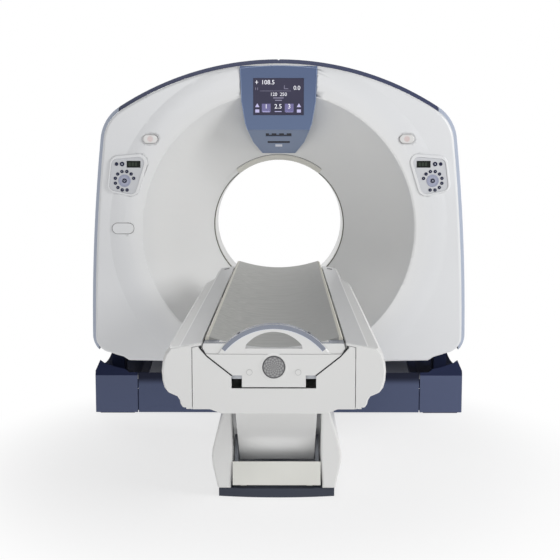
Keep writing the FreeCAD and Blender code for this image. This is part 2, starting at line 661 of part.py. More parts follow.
# ---- stand: frame, uprights, tilt drive ----
GEAR_HALF = 110.0
frame_parts = []
for side in (-1, 1):
    x0, x1 = sorted((side * UPRIGHT_X[0], side * UPRIGHT_X[1]))
    frame_parts.append(box(x0, x1, -BEAM_HALF_Y, BEAM_HALF_Y, BEAM_Z[0], BEAM_Z[1]))
    y0, y1 = sorted((side * (BEAM_HALF_Y - 70), side * BEAM_HALF_Y))
    frame_parts.append(box(-UPRIGHT_X[0], UPRIGHT_X[0], y0, y1, BEAM_Z[0], CROSS_TOP_Z))
    for end in (-1, 1):
        px = sorted((side * (ANCHOR_X - 50), side * (UPRIGHT_X[1] + 15)))
        py = sorted((end * (ANCHOR_Y - 35), end * BEAM_HALF_Y))
        frame_parts.append(box(px[0], px[1], py[0], py[1], 0, BEAM_Z[0]))
stand = join(frame_parts)
for sx in (-1, 1):
    for sy in (-1, 1):
        stand = stand.cut(rod_z(ANCHOR_R, -1, BEAM_Z[0] + 1, sx * ANCHOR_X, sy * ANCHOR_Y))
save("gantry_base_frame", stand)

foot_z = BEAM_Z[1] + 10
FOOT_HALF = 90.0
left_x = (-UPRIGHT_X[1], -UPRIGHT_X[0])
upright = join([
    box(left_x[0], left_x[1], -UPRIGHT_HALF, UPRIGHT_HALF, BEAM_Z[1], ISO_Z),
    box(left_x[0], left_x[1], -FOOT_HALF, FOOT_HALF, BEAM_Z[1], foot_z),
    rod_x(BOSS_R, left_x[0], left_x[1], 0, ISO_Z),
])
save("upright_left", upright.cut(rod_x(BUSH_R, left_x[0] - 1, left_x[1] + 1, 0, ISO_Z)))
bush = rod_x(BUSH_R, left_x[0], left_x[1], 0, ISO_Z)
save("trunnion_bearing", bush.cut(rod_x(PIN_R + FIT, left_x[0] - 1, left_x[1] + 1, 0, ISO_Z)))
save("upright_right", join([
    box(UPRIGHT_X[0], UPRIGHT_X[1], -UPRIGHT_HALF, UPRIGHT_HALF, BEAM_Z[1], ISO_Z - GEAR_HALF),
    box(UPRIGHT_X[0], UPRIGHT_X[1], -FOOT_HALF, FOOT_HALF, BEAM_Z[1], foot_z),
]))
gear = box(UPRIGHT_X[0] + 2, UPRIGHT_X[1] - 2, -100, 100, ISO_Z - GEAR_HALF, ISO_Z + GEAR_HALF)
gear = join([gear, rod_z(35, ISO_Z + GEAR_HALF, ISO_Z + GEAR_HALF + 166, UPRIGHT_X[0] + 25, 0)])
save("tilt_gearmotor", gear.cut(rod_x(PIN_R + FIT, UPRIGHT_X[0], UPRIGHT_X[1], 0, ISO_Z)))

# ---- stand covers, cut to the path of the leaning housing ----
half = math.hypot(HALF_DEPTH, ISO_Z - BOTTOM_Z) - 5.7
sweep_points = [
    (0, half), (HALF_W_LOW - 183, half - 7), (HALF_W_LOW - 161, half - 24),
    (HALF_W_LOW - 116, half - 34), (HALF_W_LOW - 51, half - 56), (HALF_W_LOW - 9, half - 86),
    (HALF_W_LOW + 40, half - 100),
]


def sweep_solid(gap):
    points = [(x, 0.0, ISO_Z - r - gap) for x, r in sweep_points]
    left = [(-x, y, z) for x, y, z in reversed(points[1:])]
    edge_x = sweep_points[-1][0]
    ring = [(-edge_x, 0.0, ISO_Z)] + left + points + [(edge_x, 0.0, ISO_Z)]
    return face_of(ring).revolve(V(0, 0, ISO_Z), V(1, 0, 0), 360)


COVER_TOP_Z = 300.0      # stand covers stay below this at their sides
SHOULDER_Z = 205.0
SHOULDER_IN = 30.0
sweep_out = sweep_solid(TILT_GAP)
sweep_in = sweep_solid(TILT_GAP + WALL)
side_profile = [
    (-BASE_HALF_Y, COVER_FOOT_Z), (BASE_HALF_Y, COVER_FOOT_Z), (BASE_HALF_Y, SHOULDER_Z),
    (BASE_HALF_Y - SHOULDER_IN, COVER_TOP_Z), (-BASE_HALF_Y + SHOULDER_IN, COVER_TOP_Z),
    (-BASE_HALF_Y, SHOULDER_Z),
]
inner_profile = [
    (-BASE_HALF_Y + WALL, COVER_FOOT_Z - 1), (BASE_HALF_Y - WALL, COVER_FOOT_Z - 1),
    (BASE_HALF_Y - WALL, SHOULDER_Z - 1), (BASE_HALF_Y - SHOULDER_IN - WALL, COVER_TOP_Z - 2),
    (-BASE_HALF_Y + SHOULDER_IN + WALL, COVER_TOP_Z - 2), (-BASE_HALF_Y + WALL, SHOULDER_Z - 1),
]
top_x = TOWER_X[1]


def tower_corner(step):
    return prism_y([(top_x + 1, 226 - step), (top_x + 1, 330), (top_x - 43 - step, 330)], -500, 500)


tower = prism_x(side_profile, TOWER_X[0], top_x)
tower = minus(tower, sweep_out, tower_corner(0))
hollow = prism_x(inner_profile, TOWER_X[0] - 1, top_x - WALL)
hollow = minus(hollow, sweep_in, tower_corner(WALL * 1.3))
tower = tower.cut(hollow)
slot_play = 3.0
tower = tower.cut(box(UPRIGHT_X[0] - slot_play, UPRIGHT_X[1] + slot_play, -UPRIGHT_HALF - slot_play,
                      UPRIGHT_HALF + slot_play, BEAM_Z[1] - 20, 320))
tabs = []
for end in (-1, 1):
    tabs.append(box(UPRIGHT_X[1], top_x - WALL + 1, end * 250 - 20, end * 250 + 20, 60, 100))
    y0, y1 = sorted((end * BEAM_HALF_Y, end * (BASE_HALF_Y - WALL + 1)))
    tabs.append(box(ANCHOR_X - 20, ANCHOR_X + 20, y0, y1, 60, 100))
tower = join([tower] + tabs)
save("base_tower_cover_right", tower)
save("base_tower_cover_left", flip(tower))

middle = box(-MIDDLE_HALF_X, MIDDLE_HALF_X, -BASE_HALF_Y, -1, COVER_FOOT_Z, COVER_TOP_Z)
lip = prism_x([(-BASE_HALF_Y - 1, 178), (-BASE_HALF_Y - 1, COVER_TOP_Z),
               (-BASE_HALF_Y + 26, COVER_TOP_Z)],
              -MIDDLE_HALF_X, MIDDLE_HALF_X)
lip_in = prism_x([(-BASE_HALF_Y - 1, 178 - WALL), (-BASE_HALF_Y - 1, COVER_TOP_Z),
                  (-BASE_HALF_Y + 32, COVER_TOP_Z)],
                 -MIDDLE_HALF_X, MIDDLE_HALF_X)
middle = minus(middle, sweep_out, lip)
hollow = box(-MIDDLE_HALF_X + WALL, MIDDLE_HALF_X - WALL, -BASE_HALF_Y + WALL, 0,
             COVER_FOOT_Z - 1, COVER_TOP_Z)
hollow = minus(hollow, sweep_in, lip_in)
middle = middle.cut(hollow)
end_hole = box(-MIDDLE_HALF_X - 1, MIDDLE_HALF_X + 1, -BEAM_HALF_Y - 3, -BEAM_HALF_Y + 73,
               COVER_FOOT_Z - 1, CROSS_TOP_Z + 3)
middle = middle.cut(end_hole)
tabs = []
for x in (-600, -250, 250, 600):
    tabs.append(box(x - 20, x + 20, -BASE_HALF_Y + WALL - 1, -BEAM_HALF_Y, 60, 100))
middle = join([middle] + tabs)
save("base_rear_cover", flip_y(middle))
notch = box(-LINK_HALF_X - 3, LINK_HALF_X + 3, -BASE_HALF_Y - 1, -BASE_HALF_Y + WALL + 1, 0, LINK_H + 3)
save("base_front_cover", middle.cut(notch))
save("link_beam", box(-LINK_HALF_X, LINK_HALF_X, PLINTH_Y[1], -BEAM_HALF_Y, 0, LINK_H))


# ---- table lift ----
rest = math.radians(ARM_REST)
reach_y, reach_z = -ARM_LEN * math.cos(rest), ARM_LEN * math.sin(rest)
top_pivot = [(y + reach_y, PIVOT_Z + reach_z) for y in PIVOT_Y]
along = (-math.cos(rest), math.sin(rest))
below = (-math.sin(rest), -math.cos(rest))


def on_arm(lower, run, drop):
    """Point run along the arm from its lower pivot and drop below its centre line."""
    return (lower + along[0] * run + below[0] * drop, PIVOT_Z + along[1] * run + below[1] * drop)


def arm_plate(lower, x0, x1):
    bar = prism_x([on_arm(lower, 0, ARM_HALF_H), on_arm(lower, ARM_LEN, ARM_HALF_H),
                   on_arm(lower, ARM_LEN, -ARM_HALF_H), on_arm(lower, 0, -ARM_HALF_H)], x0, x1)
    upper = on_arm(lower, ARM_LEN, 0)
    return join([bar, rod_x(ARM_HALF_H, x0, x1, lower, PIVOT_Z),
                 rod_x(ARM_HALF_H, x0, x1, upper[0], upper[1])])


def arm_pair(lower, x_in, x_out, lower_shaft, upper_shaft):
    """Two arm plates, the tube between them, and their pivot shafts."""
    parts = [arm_plate(lower, x_in, x_out), arm_plate(lower, -x_out, -x_in)]
    y, z = on_arm(lower, ARM_LEN / 2, 0)
    parts.append(rod_x(CROSS_TUBE_R, -x_in - 5, x_in + 5, y, z))
    upper = on_arm(lower, ARM_LEN, 0)
    parts.append(rod_x(PIVOT_R, -lower_shaft, lower_shaft, lower, PIVOT_Z))
    parts.append(rod_x(PIVOT_R, -upper_shaft, upper_shaft, upper[0], upper[1]))
    return join(parts)


front_arms = arm_pair(PIVOT_Y[0], FRONT_ARM_X[0], FRONT_ARM_X[1], FOOT_BRACKET_X[1], FRONT_ARM_X[1] + 4)
save("front_arm_pair", front_arms)
rear_arms = arm_pair(PIVOT_Y[1], REAR_ARM_X[0], REAR_ARM_X[1], BRACKET_X[1] + 3, BRACKET_X[1] + 3)
save("rear_arm_pair", rear_arms)

# tray shaped cover on the front arms, seen from the table's near end
TRAY_DROP = 50.0
TRAY_HALF = 155.0
TRAY_T = 4.0
TRAY_RUN = (-80.0, ARM_LEN - 60.0)
tray = prism_x([on_arm(PIVOT_Y[0], TRAY_RUN[0], TRAY_DROP), on_arm(PIVOT_Y[0], TRAY_RUN[1], TRAY_DROP),
                on_arm(PIVOT_Y[0], TRAY_RUN[1] - 20, -ARM_HALF_H),
                on_arm(PIVOT_Y[0], TRAY_RUN[0] + 60, -ARM_HALF_H)], -TRAY_HALF, TRAY_HALF)
scoop_out = prism_x([on_arm(PIVOT_Y[0], TRAY_RUN[0] - 40, TRAY_DROP - TRAY_T),
                     on_arm(PIVOT_Y[0], TRAY_RUN[1] + 40, TRAY_DROP - TRAY_T),
                     on_arm(PIVOT_Y[0], TRAY_RUN[1] + 40, -ARM_HALF_H - 5),
                     on_arm(PIVOT_Y[0], TRAY_RUN[0] - 40, -ARM_HALF_H - 5)],
                    -TRAY_HALF + TRAY_T, TRAY_HALF - TRAY_T)
tray = tray.cut(scoop_out)
tray_ribs = []
for run in (130.0, ARM_LEN - 180.0):
    rib = prism_x([on_arm(PIVOT_Y[0], run, TRAY_DROP - 1), on_arm(PIVOT_Y[0], run + 30, TRAY_DROP - 1),
                   on_arm(PIVOT_Y[0], run + 30, ARM_HALF_H), on_arm(PIVOT_Y[0], run, ARM_HALF_H)],
                  FRONT_ARM_X[0], TRAY_HALF - 1)
    tray_ribs += [rib, flip(rib)]
tray = join([tray] + tray_ribs)
tray = tray.cut(rod_x(PIVOT_R, -TRAY_HALF - 1, TRAY_HALF + 1, PIVOT_Y[0], PIVOT_Z))
save("arm_cover", tray)

# ---- table foot ----
bow = 21.0
plinth_edges = [
    Part.Arc(V(-PLINTH_HALF_X, PLINTH_Y[0] + bow, 0), V(0, PLINTH_Y[0], 0),
             V(PLINTH_HALF_X, PLINTH_Y[0] + bow, 0)).toShape(),
    Part.makeLine(V(PLINTH_HALF_X, PLINTH_Y[0] + bow, 0), V(PLINTH_HALF_X, PLINTH_Y[1], 0)),
    Part.makeLine(V(PLINTH_HALF_X, PLINTH_Y[1], 0), V(-PLINTH_HALF_X, PLINTH_Y[1], 0)),
    Part.makeLine(V(-PLINTH_HALF_X, PLINTH_Y[1], 0), V(-PLINTH_HALF_X, PLINTH_Y[0] + bow, 0)),
]
plinth = Part.Face(Part.Wire(plinth_edges)).extrude(V(0, 0, PLINTH_H))
save("table_plinth", soften(plinth, 4.0, [e for e in plinth.Edges if e.BoundBox.ZMin > PLINTH_H - 0.1]))

base_t = 14.0
base_half = FOOT_BRACKET_X[1]
base_plate = box(-base_half, base_half, PIVOT_Y[0] - 128, PIVOT_Y[1] + 212, PLINTH_H, PLINTH_H + base_t)
foot_parts = [base_plate]
for lower, span in zip(PIVOT_Y, (FOOT_BRACKET_X, BRACKET_X)):
    for side in (-1, 1):
        x0, x1 = sorted((side * span[0], side * span[1]))
        foot_parts.append(prism_x([
            (lower - 60, PLINTH_H + base_t - 1), (lower + 60, PLINTH_H + base_t - 1),
            (lower + 26, PIVOT_Z), (lower - 26, PIVOT_Z)], x0, x1))
        foot_parts.append(rod_x(26, x0, x1, lower, PIVOT_Z))
foot = join(foot_parts)
for lower in PIVOT_Y:
    foot = foot.cut(rod_x(PIVOT_R + FIT, -base_half - 1, base_half + 1, lower, PIVOT_Z))
save("table_base_frame", foot)

drive = box(-REAR_ARM_X[0] + 7, REAR_ARM_X[0] - 7, PIVOT_Y[1] - 70, PIVOT_Y[1] + 60,
            PLINTH_H + base_t, PIVOT_Z + 50)
drive = join([drive, rod_y(38, PIVOT_Y[1] + 60, PIVOT_Y[1] + 205, 0, PIVOT_Z - 60)])
save("lift_gearmotor", drive.cut(rod_x(PIVOT_R + FIT, -60, 60, PIVOT_Y[1], PIVOT_Z)))

leg = [
    (LEG_IN_X, LEG_TOP_Z), (LEG_IN_X + 29, LEG_TOP_Z), (LEG_IN_X + 38, LEG_TOP_Z - 23),
    (LEG_IN_X + 62, 262), (LEG_IN_X + 79, 196), (LEG_IN_X + 82, 165), (LEG_IN_X + 79, 130),
    (LEG_IN_X + 66, 72), (LEG_IN_X + 58, PLINTH_H), (LEG_IN_X + 6, PLINTH_H),
    (LEG_IN_X + 6, 60), (LEG_IN_X, 150),
]
LEG_Y = (PLINTH_Y[0] + 6, PLINTH_Y[1] - 30)
leg_y = LEG_Y
leg_body = prism_y(leg, leg_y[0], leg_y[1])
leg_body = soften(leg_body, 9.0, edges_at_y(leg_body, leg_y[0]))
leg_body = leg_body.cut(prism_y(grown(leg, -COVER_T), leg_y[0] + 10, leg_y[1] - 10))
save("leg_covers", Part.makeCompound([leg_body, flip(leg_body)]))

panel_low = PLINTH_H + base_t
front_panel = box(-LEG_IN_X + 1, LEG_IN_X - 1, PLINTH_Y[0], PLINTH_Y[0] + 5, panel_low, PANEL_TOP_Z)
front_panel = soften(front_panel, 2.0, edges_at_y(front_panel, PLINTH_Y[0]))
panel_feet = []
for side in (-1, 1):
    x0, x1 = sorted((side * 120, side * 145))
    panel_feet.append(box(x0, x1, PLINTH_Y[0] + 4, PIVOT_Y[0] - 128, panel_low + 4, panel_low + 24))
    panel_feet.append(box(x0, x1, PIVOT_Y[0] - 140, PIVOT_Y[0] - 128, panel_low - base_t, panel_low + 24))
save("pedestal_front_panel", join([front_panel] + panel_feet))

# ---- table top frame ----
top_parts = []
frame_y = (TABLE_Y[0] + 31, TABLE_Y[1] - 21)
for side in (-1, 1):
    x0, x1 = sorted((side * FRAME_BEAM_X[0], side * FRAME_BEAM_X[1]))
    top_parts.append(box(x0, x1, frame_y[0], frame_y[1], FRAME_Z[0], FRAME_Z[1]))
cross_t = 15.0
cross_at = [frame_y[0], top_pivot[0][0] - 60, top_pivot[1][0] - 60, -1300.0, frame_y[1] - 60]
for i, y in enumerate(cross_at):
    top_parts.append(box(-FRAME_BEAM_X[1], FRAME_BEAM_X[1], y, y + (120 if i in (1, 2) else 60),
                         FRAME_Z[0], FRAME_Z[0] + cross_t))
for qy, qz in top_pivot:
    for side in (-1, 1):
        x0, x1 = sorted((side * BRACKET_X[0], side * BRACKET_X[1]))
        top_parts.append(prism_x([(qy - 50, FRAME_Z[0] + 1), (qy + 50, FRAME_Z[0] + 1),
                                  (qy + 26, qz), (qy - 26, qz)], x0, x1))
        top_parts.append(rod_x(26, x0, x1, qy, qz))
# outriggers that carry the side covers, kept low under the cradle
OUT_Y = (TABLE_Y[0] + 61, TABLE_Y[0] + 700, -1330.0)
out_t = 12.0
clear_x = CRADLE_HALF + 14
for y in OUT_Y:
    for side in (-1, 1):
        x0, x1 = sorted((side * (RAIL_X[1] + 7), side * 321.5))
        top_parts.append(box(x0, x1, y, y + 40, FRAME_Z[1], FRAME_Z[1] + out_t))
        x0, x1 = sorted((side * clear_x, side * 300))
        top_parts.append(box(x0, x1, y, y + 40, FRAME_Z[1] + out_t - 1, FRAME_Z[1] + 40))
# pad under the far end of the cradle
top_parts.append(box(-CRADLE_KEEL_HALF, CRADLE_KEEL_HALF, frame_y[1] - 60, frame_y[1] - 5,
                     FRAME_Z[0] + cross_t - 1, CRADLE_KEEL_Z - RUN_GAP))
top_frame = join(top_parts)
for qy, qz in top_pivot:
    top_frame = top_frame.cut(rod_x(PIVOT_R + FIT, -140, 140, qy, qz))


# ---- table covers ----
PAN_Z = 604.0            # underside of the table at its near end
PAN_HALF = 264.0


def strip(points, t):
    """Closed outline of a wall of thickness t on the inner side of a line."""
    normals = []
    for (x0, z0), (x1, z1) in zip(points, points[1:]):
        length = math.hypot(x1 - x0, z1 - z0)
        normals.append(((z1 - z0) / length, -(x1 - x0) / length))
    inner = []
    for i, (x, z) in enumerate(points):
        n0 = normals[max(i - 1, 0)]
        n1 = normals[min(i, len(normals) - 1)]
        k = t / (1.0 + n0[0] * n1[0] + n0[1] * n1[1])
        inner.append((x + (n0[0] + n1[0]) * k, z + (n0[1] + n1[1]) * k))
    return list(points) + inner[::-1]


lip_x = CRADLE_HALF + 7
lip_z = CRADLE_RIM_Z - 9
wide = [
    (lip_x, lip_z), (313, 791), (326, 775), (334, 748), (337, 720), (335, 690), (329, 668),
    (318, 653), (303, 646), (291, 641), (284, 630), (281, 617), (275, 608), (267, 605.5),
]
near = [
    (lip_x, lip_z - 2), (306, 787), (319, 771), (327, 746), (330, 719), (328, 692), (322, 672),
    (312, 658), (299, 651), (286, 645), (279, 634), (276, 621), (272, 613), (267, 610.5),
]
slim = [
    (lip_x, lip_z), (283, 797), (291, 786), (298, 772), (300, 756), (301, 740), (301, 731),
    (300, 722), (297, 716), (293, 711), (289, 707), (284, 704), (278, 702), (272, 700),
]
turn = [
    (lip_x, lip_z), (274, 798), (282, 787), (288, 772), (290, 756), (291, 740), (291, 731),
    (290, 722), (287, 716), (283, 711), (279, 707), (275, 704), (269, 702), (263, 700),
]
tip = [
    (lip_x, lip_z), (246, 802), (251, 790), (256, 776), (257, 758), (258, 740), (258, 732),
    (257, 724), (255, 718), (252, 714), (249, 710), (246, 707), (241, 704), (236, 702),
]
stations = [
    (TABLE_Y[0], near), (TABLE_Y[0] + 14, wide), (-1200.0, wide), (-1090.0, slim),
    (TABLE_Y[1] - 50, slim), (TABLE_Y[1] - 18, turn), (TABLE_Y[1], tip),
]
shells = []
for (y0, a), (y1, b) in zip(stations, stations[1:]):
    wires = []
    for y, pts in ((y0, a), (y1, b)):
        ring = [V(x, y, z) for x, z in strip(pts, COVER_T)]
        wires.append(Part.makePolygon(ring + [ring[0]]))
    shells.append(Part.makeLoft(wires, True, True))
seam_x = 245.0
near_face = [(seam_x + 1, lip_z - 9)] + [(x - 3, z - 1) for x, z in near[1:-1]] + [(seam_x + 1, PAN_Z)]
near_face = prism_y(near_face, TABLE_Y[0], TABLE_Y[0] + COVER_T - 1.5)
far_face = box(0.5, 250, TABLE_Y[1] - COVER_T, TABLE_Y[1], FRAME_Z[0] + 13, CRADLE_KEEL_Z - 5)
far_foot = box(FRAME_BEAM_X[0], FRAME_BEAM_X[1], frame_y[1], TABLE_Y[1] - COVER_T + 1,
               FRAME_Z[0] + 15, FRAME_Z[1] - 12)
side_cover = join(shells + [near_face, far_face, far_foot])
save("table_side_cover_right", side_cover)
save("table_side_cover_left", flip(side_cover))
top_frame = minus(top_frame, side_cover, flip(side_cover))
save("table_frame", top_frame)

notch_z = 668.0
TRAY_STEP = 13.0         # the middle of the end cover hangs lower
tongue_half = 96.0
pocket_x = 127.0
v_edge = [(lip_x + 8, 791), (201, 764), (pocket_x, 705), (pocket_x, notch_z)]
end_half = [
    (lip_x + 8, lip_z - 10), (seam_x - 1, lip_z - 14), (seam_x - 1, PAN_Z), (192, PAN_Z),
    (158, PAN_Z - TRAY_STEP), (0, PAN_Z - TRAY_STEP), (0, notch_z),
]
end_half = end_half + v_edge[::-1]
end_plate = prism_y(end_half, TABLE_Y[0], TABLE_Y[0] + COVER_T)
PAN_END_Y = -2290.0
pan = [
    prism_y([
        (0, PAN_Z - TRAY_STEP), (158, PAN_Z - TRAY_STEP), (192, PAN_Z), (PAN_HALF, PAN_Z),
        (PAN_HALF, PAN_Z + COVER_T), (190, PAN_Z + COVER_T), (156, PAN_Z - TRAY_STEP + COVER_T),
        (0, PAN_Z - TRAY_STEP + COVER_T),
    ], TABLE_Y[0] + COVER_T - 1, PAN_END_Y),
    box(0, 150, PAN_END_Y - COVER_T, PAN_END_Y, PAN_Z - TRAY_STEP, FRAME_Z[0]),
    box(149, PAN_HALF, PAN_END_Y - COVER_T, PAN_END_Y, PAN_Z + 1, FRAME_Z[0]),
    box(FRAME_BEAM_X[0] + 27, FRAME_BEAM_X[1], TABLE_Y[0] + COVER_T - 1, frame_y[0],
        FRAME_Z[0] + 1, FRAME_Z[0] + 12),
]
half_cover = join([end_plate] + pan)
save("table_end_cover", join([half_cover, flip(half_cover)]))

CAP_SPLIT_Z = 772.0
BADGE_R = 34.4
PLUG_R = 9.0
PLUG_X = 73.0
gap = 3.0
tongue_outline = mirrored([
    (205, CAP_SPLIT_Z), (201 - gap, 766), (pocket_x - gap, 707), (tongue_half, 707),
    (tongue_half, notch_z + gap),
])
tongue = prism_y(tongue_outline, TABLE_Y[0], TABLE_Y[0] + 8)
tongue = soften(tongue, 2.0, edges_at_y(tongue, TABLE_Y[0]))
badge = rod_y(BADGE_R, TABLE_Y[0] - 1.5, TABLE_Y[0] + 1, 0, CAP_SPLIT_Z - 39)
plugs = [rod_y(PLUG_R, TABLE_Y[0] - 1, TABLE_Y[0] + 1, x, CAP_SPLIT_Z - 55) for x in (-PLUG_X, PLUG_X)]
ties = [box(x - 15, x + 15, TABLE_Y[0] + 7, frame_y[0], FRAME_Z[0] + 2, FRAME_Z[0] + 13) for x in (-75, 75)]
save("table_end_tongue", join([tongue, badge] + plugs + ties))

# ---- cradle ----
cr0, cr1 = CRADLE_Y
floor_z = CRADLE_RIM_Z - CRADLE_SAG


def cradle_prism(y0, y1):
    def p(x, z):
        return V(x, y0, z)
    h = CRADLE_HALF
    k = CRADLE_KEEL_HALF
    kz = CRADLE_KEEL_Z
    r = CRADLE_RIM_Z
    m = (h + k) / 2 + 7
    mz = kz + 29
    edges = [
        Part.Arc(p(-h + 10, r), p(0, floor_z), p(h - 10, r)).toShape(),
        Part.makeLine(p(h - 10, r), p(h - 4, r)),
        Part.makeLine(p(h - 4, r), p(h, r - 5)),
        Part.makeLine(p(h, r - 5), p(h, r - 15)),
        Part.Arc(p(h, r - 15), p(m, mz), p(k, kz)).toShape(),
        Part.makeLine(p(k, kz), p(-k, kz)),
        Part.Arc(p(-k, kz), p(-m, mz), p(-h, r - 15)).toShape(),
        Part.makeLine(p(-h, r - 15), p(-h, r - 5)),
        Part.makeLine(p(-h, r - 5), p(-h + 4, r)),
        Part.makeLine(p(-h + 4, r), p(-h + 10, r)),
    ]
    return Part.Face(Part.Wire(edges)).extrude(V(0, y1 - y0, 0))


cradle = cradle_prism(cr0, cr1)
plan = box(-CRADLE_HALF - 1, CRADLE_HALF + 1, cr0 - 1, cr1, CRADLE_KEEL_Z - 1, CRADLE_RIM_Z + 1)
plan = soften(plan, 42.0, [e for e in plan.Edges if abs(e.BoundBox.YMin - cr1) < 0.1
                           and e.BoundBox.ZLength > CRADLE_RIM_Z - CRADLE_KEEL_Z])
cradle = cradle.common(plan)
save("cradle_shell", cradle)

rails = []
rail_y = (frame_y[0] + 6, frame_y[1] - 12)
for side in (-1, 1):
    x0, x1 = sorted((side * RAIL_X[0], side * RAIL_X[1]))
    rails.append(box(x0, x1, rail_y[0], rail_y[1], FRAME_Z[1], FRAME_Z[1] + RAIL_H))
save("cradle_rails", Part.makeCompound(rails))

SADDLE_Y = (cr0, cr0 + 185.0)
saddle_t = 10.0
saddle = [box(-RAIL_X[0], RAIL_X[0], SADDLE_Y[0], SADDLE_Y[1], CRADLE_KEEL_Z - saddle_t, CRADLE_KEEL_Z + 30)]
saddle[0] = saddle[0].cut(box(-RAIL_X[0] - 1, RAIL_X[0] + 1, SADDLE_Y[0] - 1, SADDLE_Y[1] + 1,
                              FRAME_Z[1] + RAIL_H + 2, CRADLE_KEEL_Z + 60))
shoe_z = FRAME_Z[1] + RAIL_H + RUN_GAP
for side in (-1, 1):
    x0, x1 = sorted((side * (RAIL_X[0] - 12), side * (RAIL_X[1] + 2)))
    saddle.append(box(x0, x1, SADDLE_Y[0], SADDLE_Y[1], shoe_z, shoe_z + 18))
saddle = join(saddle)
low_trim = box(-FRAME_BEAM_X[1], -FRAME_BEAM_X[0] + 2, SADDLE_Y[0] - 1, SADDLE_Y[1] + 1, 700,
               FRAME_Z[1] + RUN_GAP)
rail_trim = box(-FRAME_BEAM_X[1], -RAIL_X[0] + RUN_GAP, SADDLE_Y[0] - 1, SADDLE_Y[1] + 1, 700, shoe_z)
saddle = minus(saddle, low_trim, flip(low_trim), rail_trim, flip(rail_trim))
saddle = saddle.cut(cradle_prism(cr0 - 1, SADDLE_Y[1] + 1))
save("cradle_carriage", saddle)

drive_y = (frame_y[0] + 4, frame_y[1] - 90)
drive_top = CRADLE_KEEL_Z - saddle_t - RUN_GAP
motor_y = (TABLE_Y[0] + 250, TABLE_Y[0] + 390)
save("cradle_drive_unit", join([
    box(-45, 45, drive_y[0], drive_y[1], FRAME_Z[0] + cross_t, drive_top),
    box(-48, 48, motor_y[0], motor_y[1], FRAME_Z[0] - 55, FRAME_Z[0] + cross_t + 1),
]))

# end piece of the cradle with its arched grip
ARCH_HALF = 172.0
ARCH_TOP_Z = 863.0
WINDOW_HALF = 86.0
GRIP_LOW = 16.0          # solid part below the grip window
GRIP_T = 23.0            # height of the grip above it
cap_z = CAP_SPLIT_Z + 1
arch_y = (TABLE_Y[0], TABLE_Y[0] + 26)


def arch_prism(half_w, low, high, shoulder, y0, y1):
    a, b = V(-half_w, y0, low), V(half_w, y0, low)
    c, e = V(half_w * 0.97, y0, shoulder), V(-half_w * 0.97, y0, shoulder)
    edges = [Part.makeLine(a, b), Part.makeLine(b, c), Part.Arc(c, V(0, y0, high), e).toShape(),
             Part.makeLine(e, a)]
    return Part.Face(Part.Wire(edges)).extrude(V(0, y1 - y0, 0))


arch = arch_prism(ARCH_HALF, cap_z, ARCH_TOP_Z, cap_z + 4, arch_y[0], arch_y[1])
arch = soften(arch, 5.0, edges_at_y(arch, arch_y[0])[1:])
window = arch_prism(WINDOW_HALF, cap_z + GRIP_LOW, ARCH_TOP_Z - GRIP_T, cap_z + GRIP_LOW + 11,
                    arch_y[0] - 1, arch_y[1] + 1)
wings = prism_y(mirrored([(CRADLE_HALF, lip_z - 2), (CRADLE_HALF + 3, 790), (204, cap_z)]),
                arch_y[0] + 3, cr0)
clear_z = ARCH_TOP_Z + 40
dish = Part.Face(Part.Wire([
    Part.Arc(V(-CRADLE_HALF + 10, arch_y[1], CRADLE_RIM_Z), V(0, arch_y[1], floor_z),
             V(CRADLE_HALF - 10, arch_y[1], CRADLE_RIM_Z)).toShape(),
    Part.makeLine(V(CRADLE_HALF - 10, arch_y[1], CRADLE_RIM_Z), V(CRADLE_HALF - 10, arch_y[1], clear_z)),
    Part.makeLine(V(CRADLE_HALF - 10, arch_y[1], clear_z), V(-CRADLE_HALF + 10, arch_y[1], clear_z)),
    Part.makeLine(V(-CRADLE_HALF + 10, arch_y[1], clear_z), V(-CRADLE_HALF + 10, arch_y[1], CRADLE_RIM_Z)),
])).extrude(V(0, 200, 0))
cap = join([wings.cut(dish), arch.cut(window)])
save("cradle_end_cap", cap.cut(window))
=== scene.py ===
"""Finishes, fine trim, floor, light and camera of the CT scanner, round its CAD frame."""
import bpy
import bmesh
import json
import math
from mathutils import Matrix, Vector
from mathutils.bvhtree import BVHTree


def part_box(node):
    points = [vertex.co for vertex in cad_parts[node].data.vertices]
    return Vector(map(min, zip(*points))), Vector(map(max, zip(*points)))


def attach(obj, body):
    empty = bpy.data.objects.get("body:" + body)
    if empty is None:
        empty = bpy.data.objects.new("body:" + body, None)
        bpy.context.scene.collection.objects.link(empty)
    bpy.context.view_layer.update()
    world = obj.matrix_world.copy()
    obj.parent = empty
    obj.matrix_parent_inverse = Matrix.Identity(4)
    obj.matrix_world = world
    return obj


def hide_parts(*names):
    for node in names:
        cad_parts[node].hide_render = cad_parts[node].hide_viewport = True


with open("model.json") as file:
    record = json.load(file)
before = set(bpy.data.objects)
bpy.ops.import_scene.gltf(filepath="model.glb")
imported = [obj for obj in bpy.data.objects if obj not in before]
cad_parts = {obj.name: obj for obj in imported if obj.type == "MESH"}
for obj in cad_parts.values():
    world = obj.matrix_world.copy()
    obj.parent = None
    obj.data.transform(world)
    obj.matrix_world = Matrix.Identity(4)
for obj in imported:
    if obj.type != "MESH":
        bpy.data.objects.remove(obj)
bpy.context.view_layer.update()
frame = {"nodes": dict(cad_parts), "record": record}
nodes = frame["nodes"]
slot_of = {s["node"]: s["material_slot"] for s in frame["record"]["subparts"]}
body_of = {n: b for b, names in frame["record"]["behaviour"]["bodies"].items() for n in names}
HOUSING = "tilting_gantry"
SIDES = (-1, 1)

# places in metres that finishes and pieces share
BORE_Z = 0.974
BORE_R = 0.350
BADGE_Z = 0.733


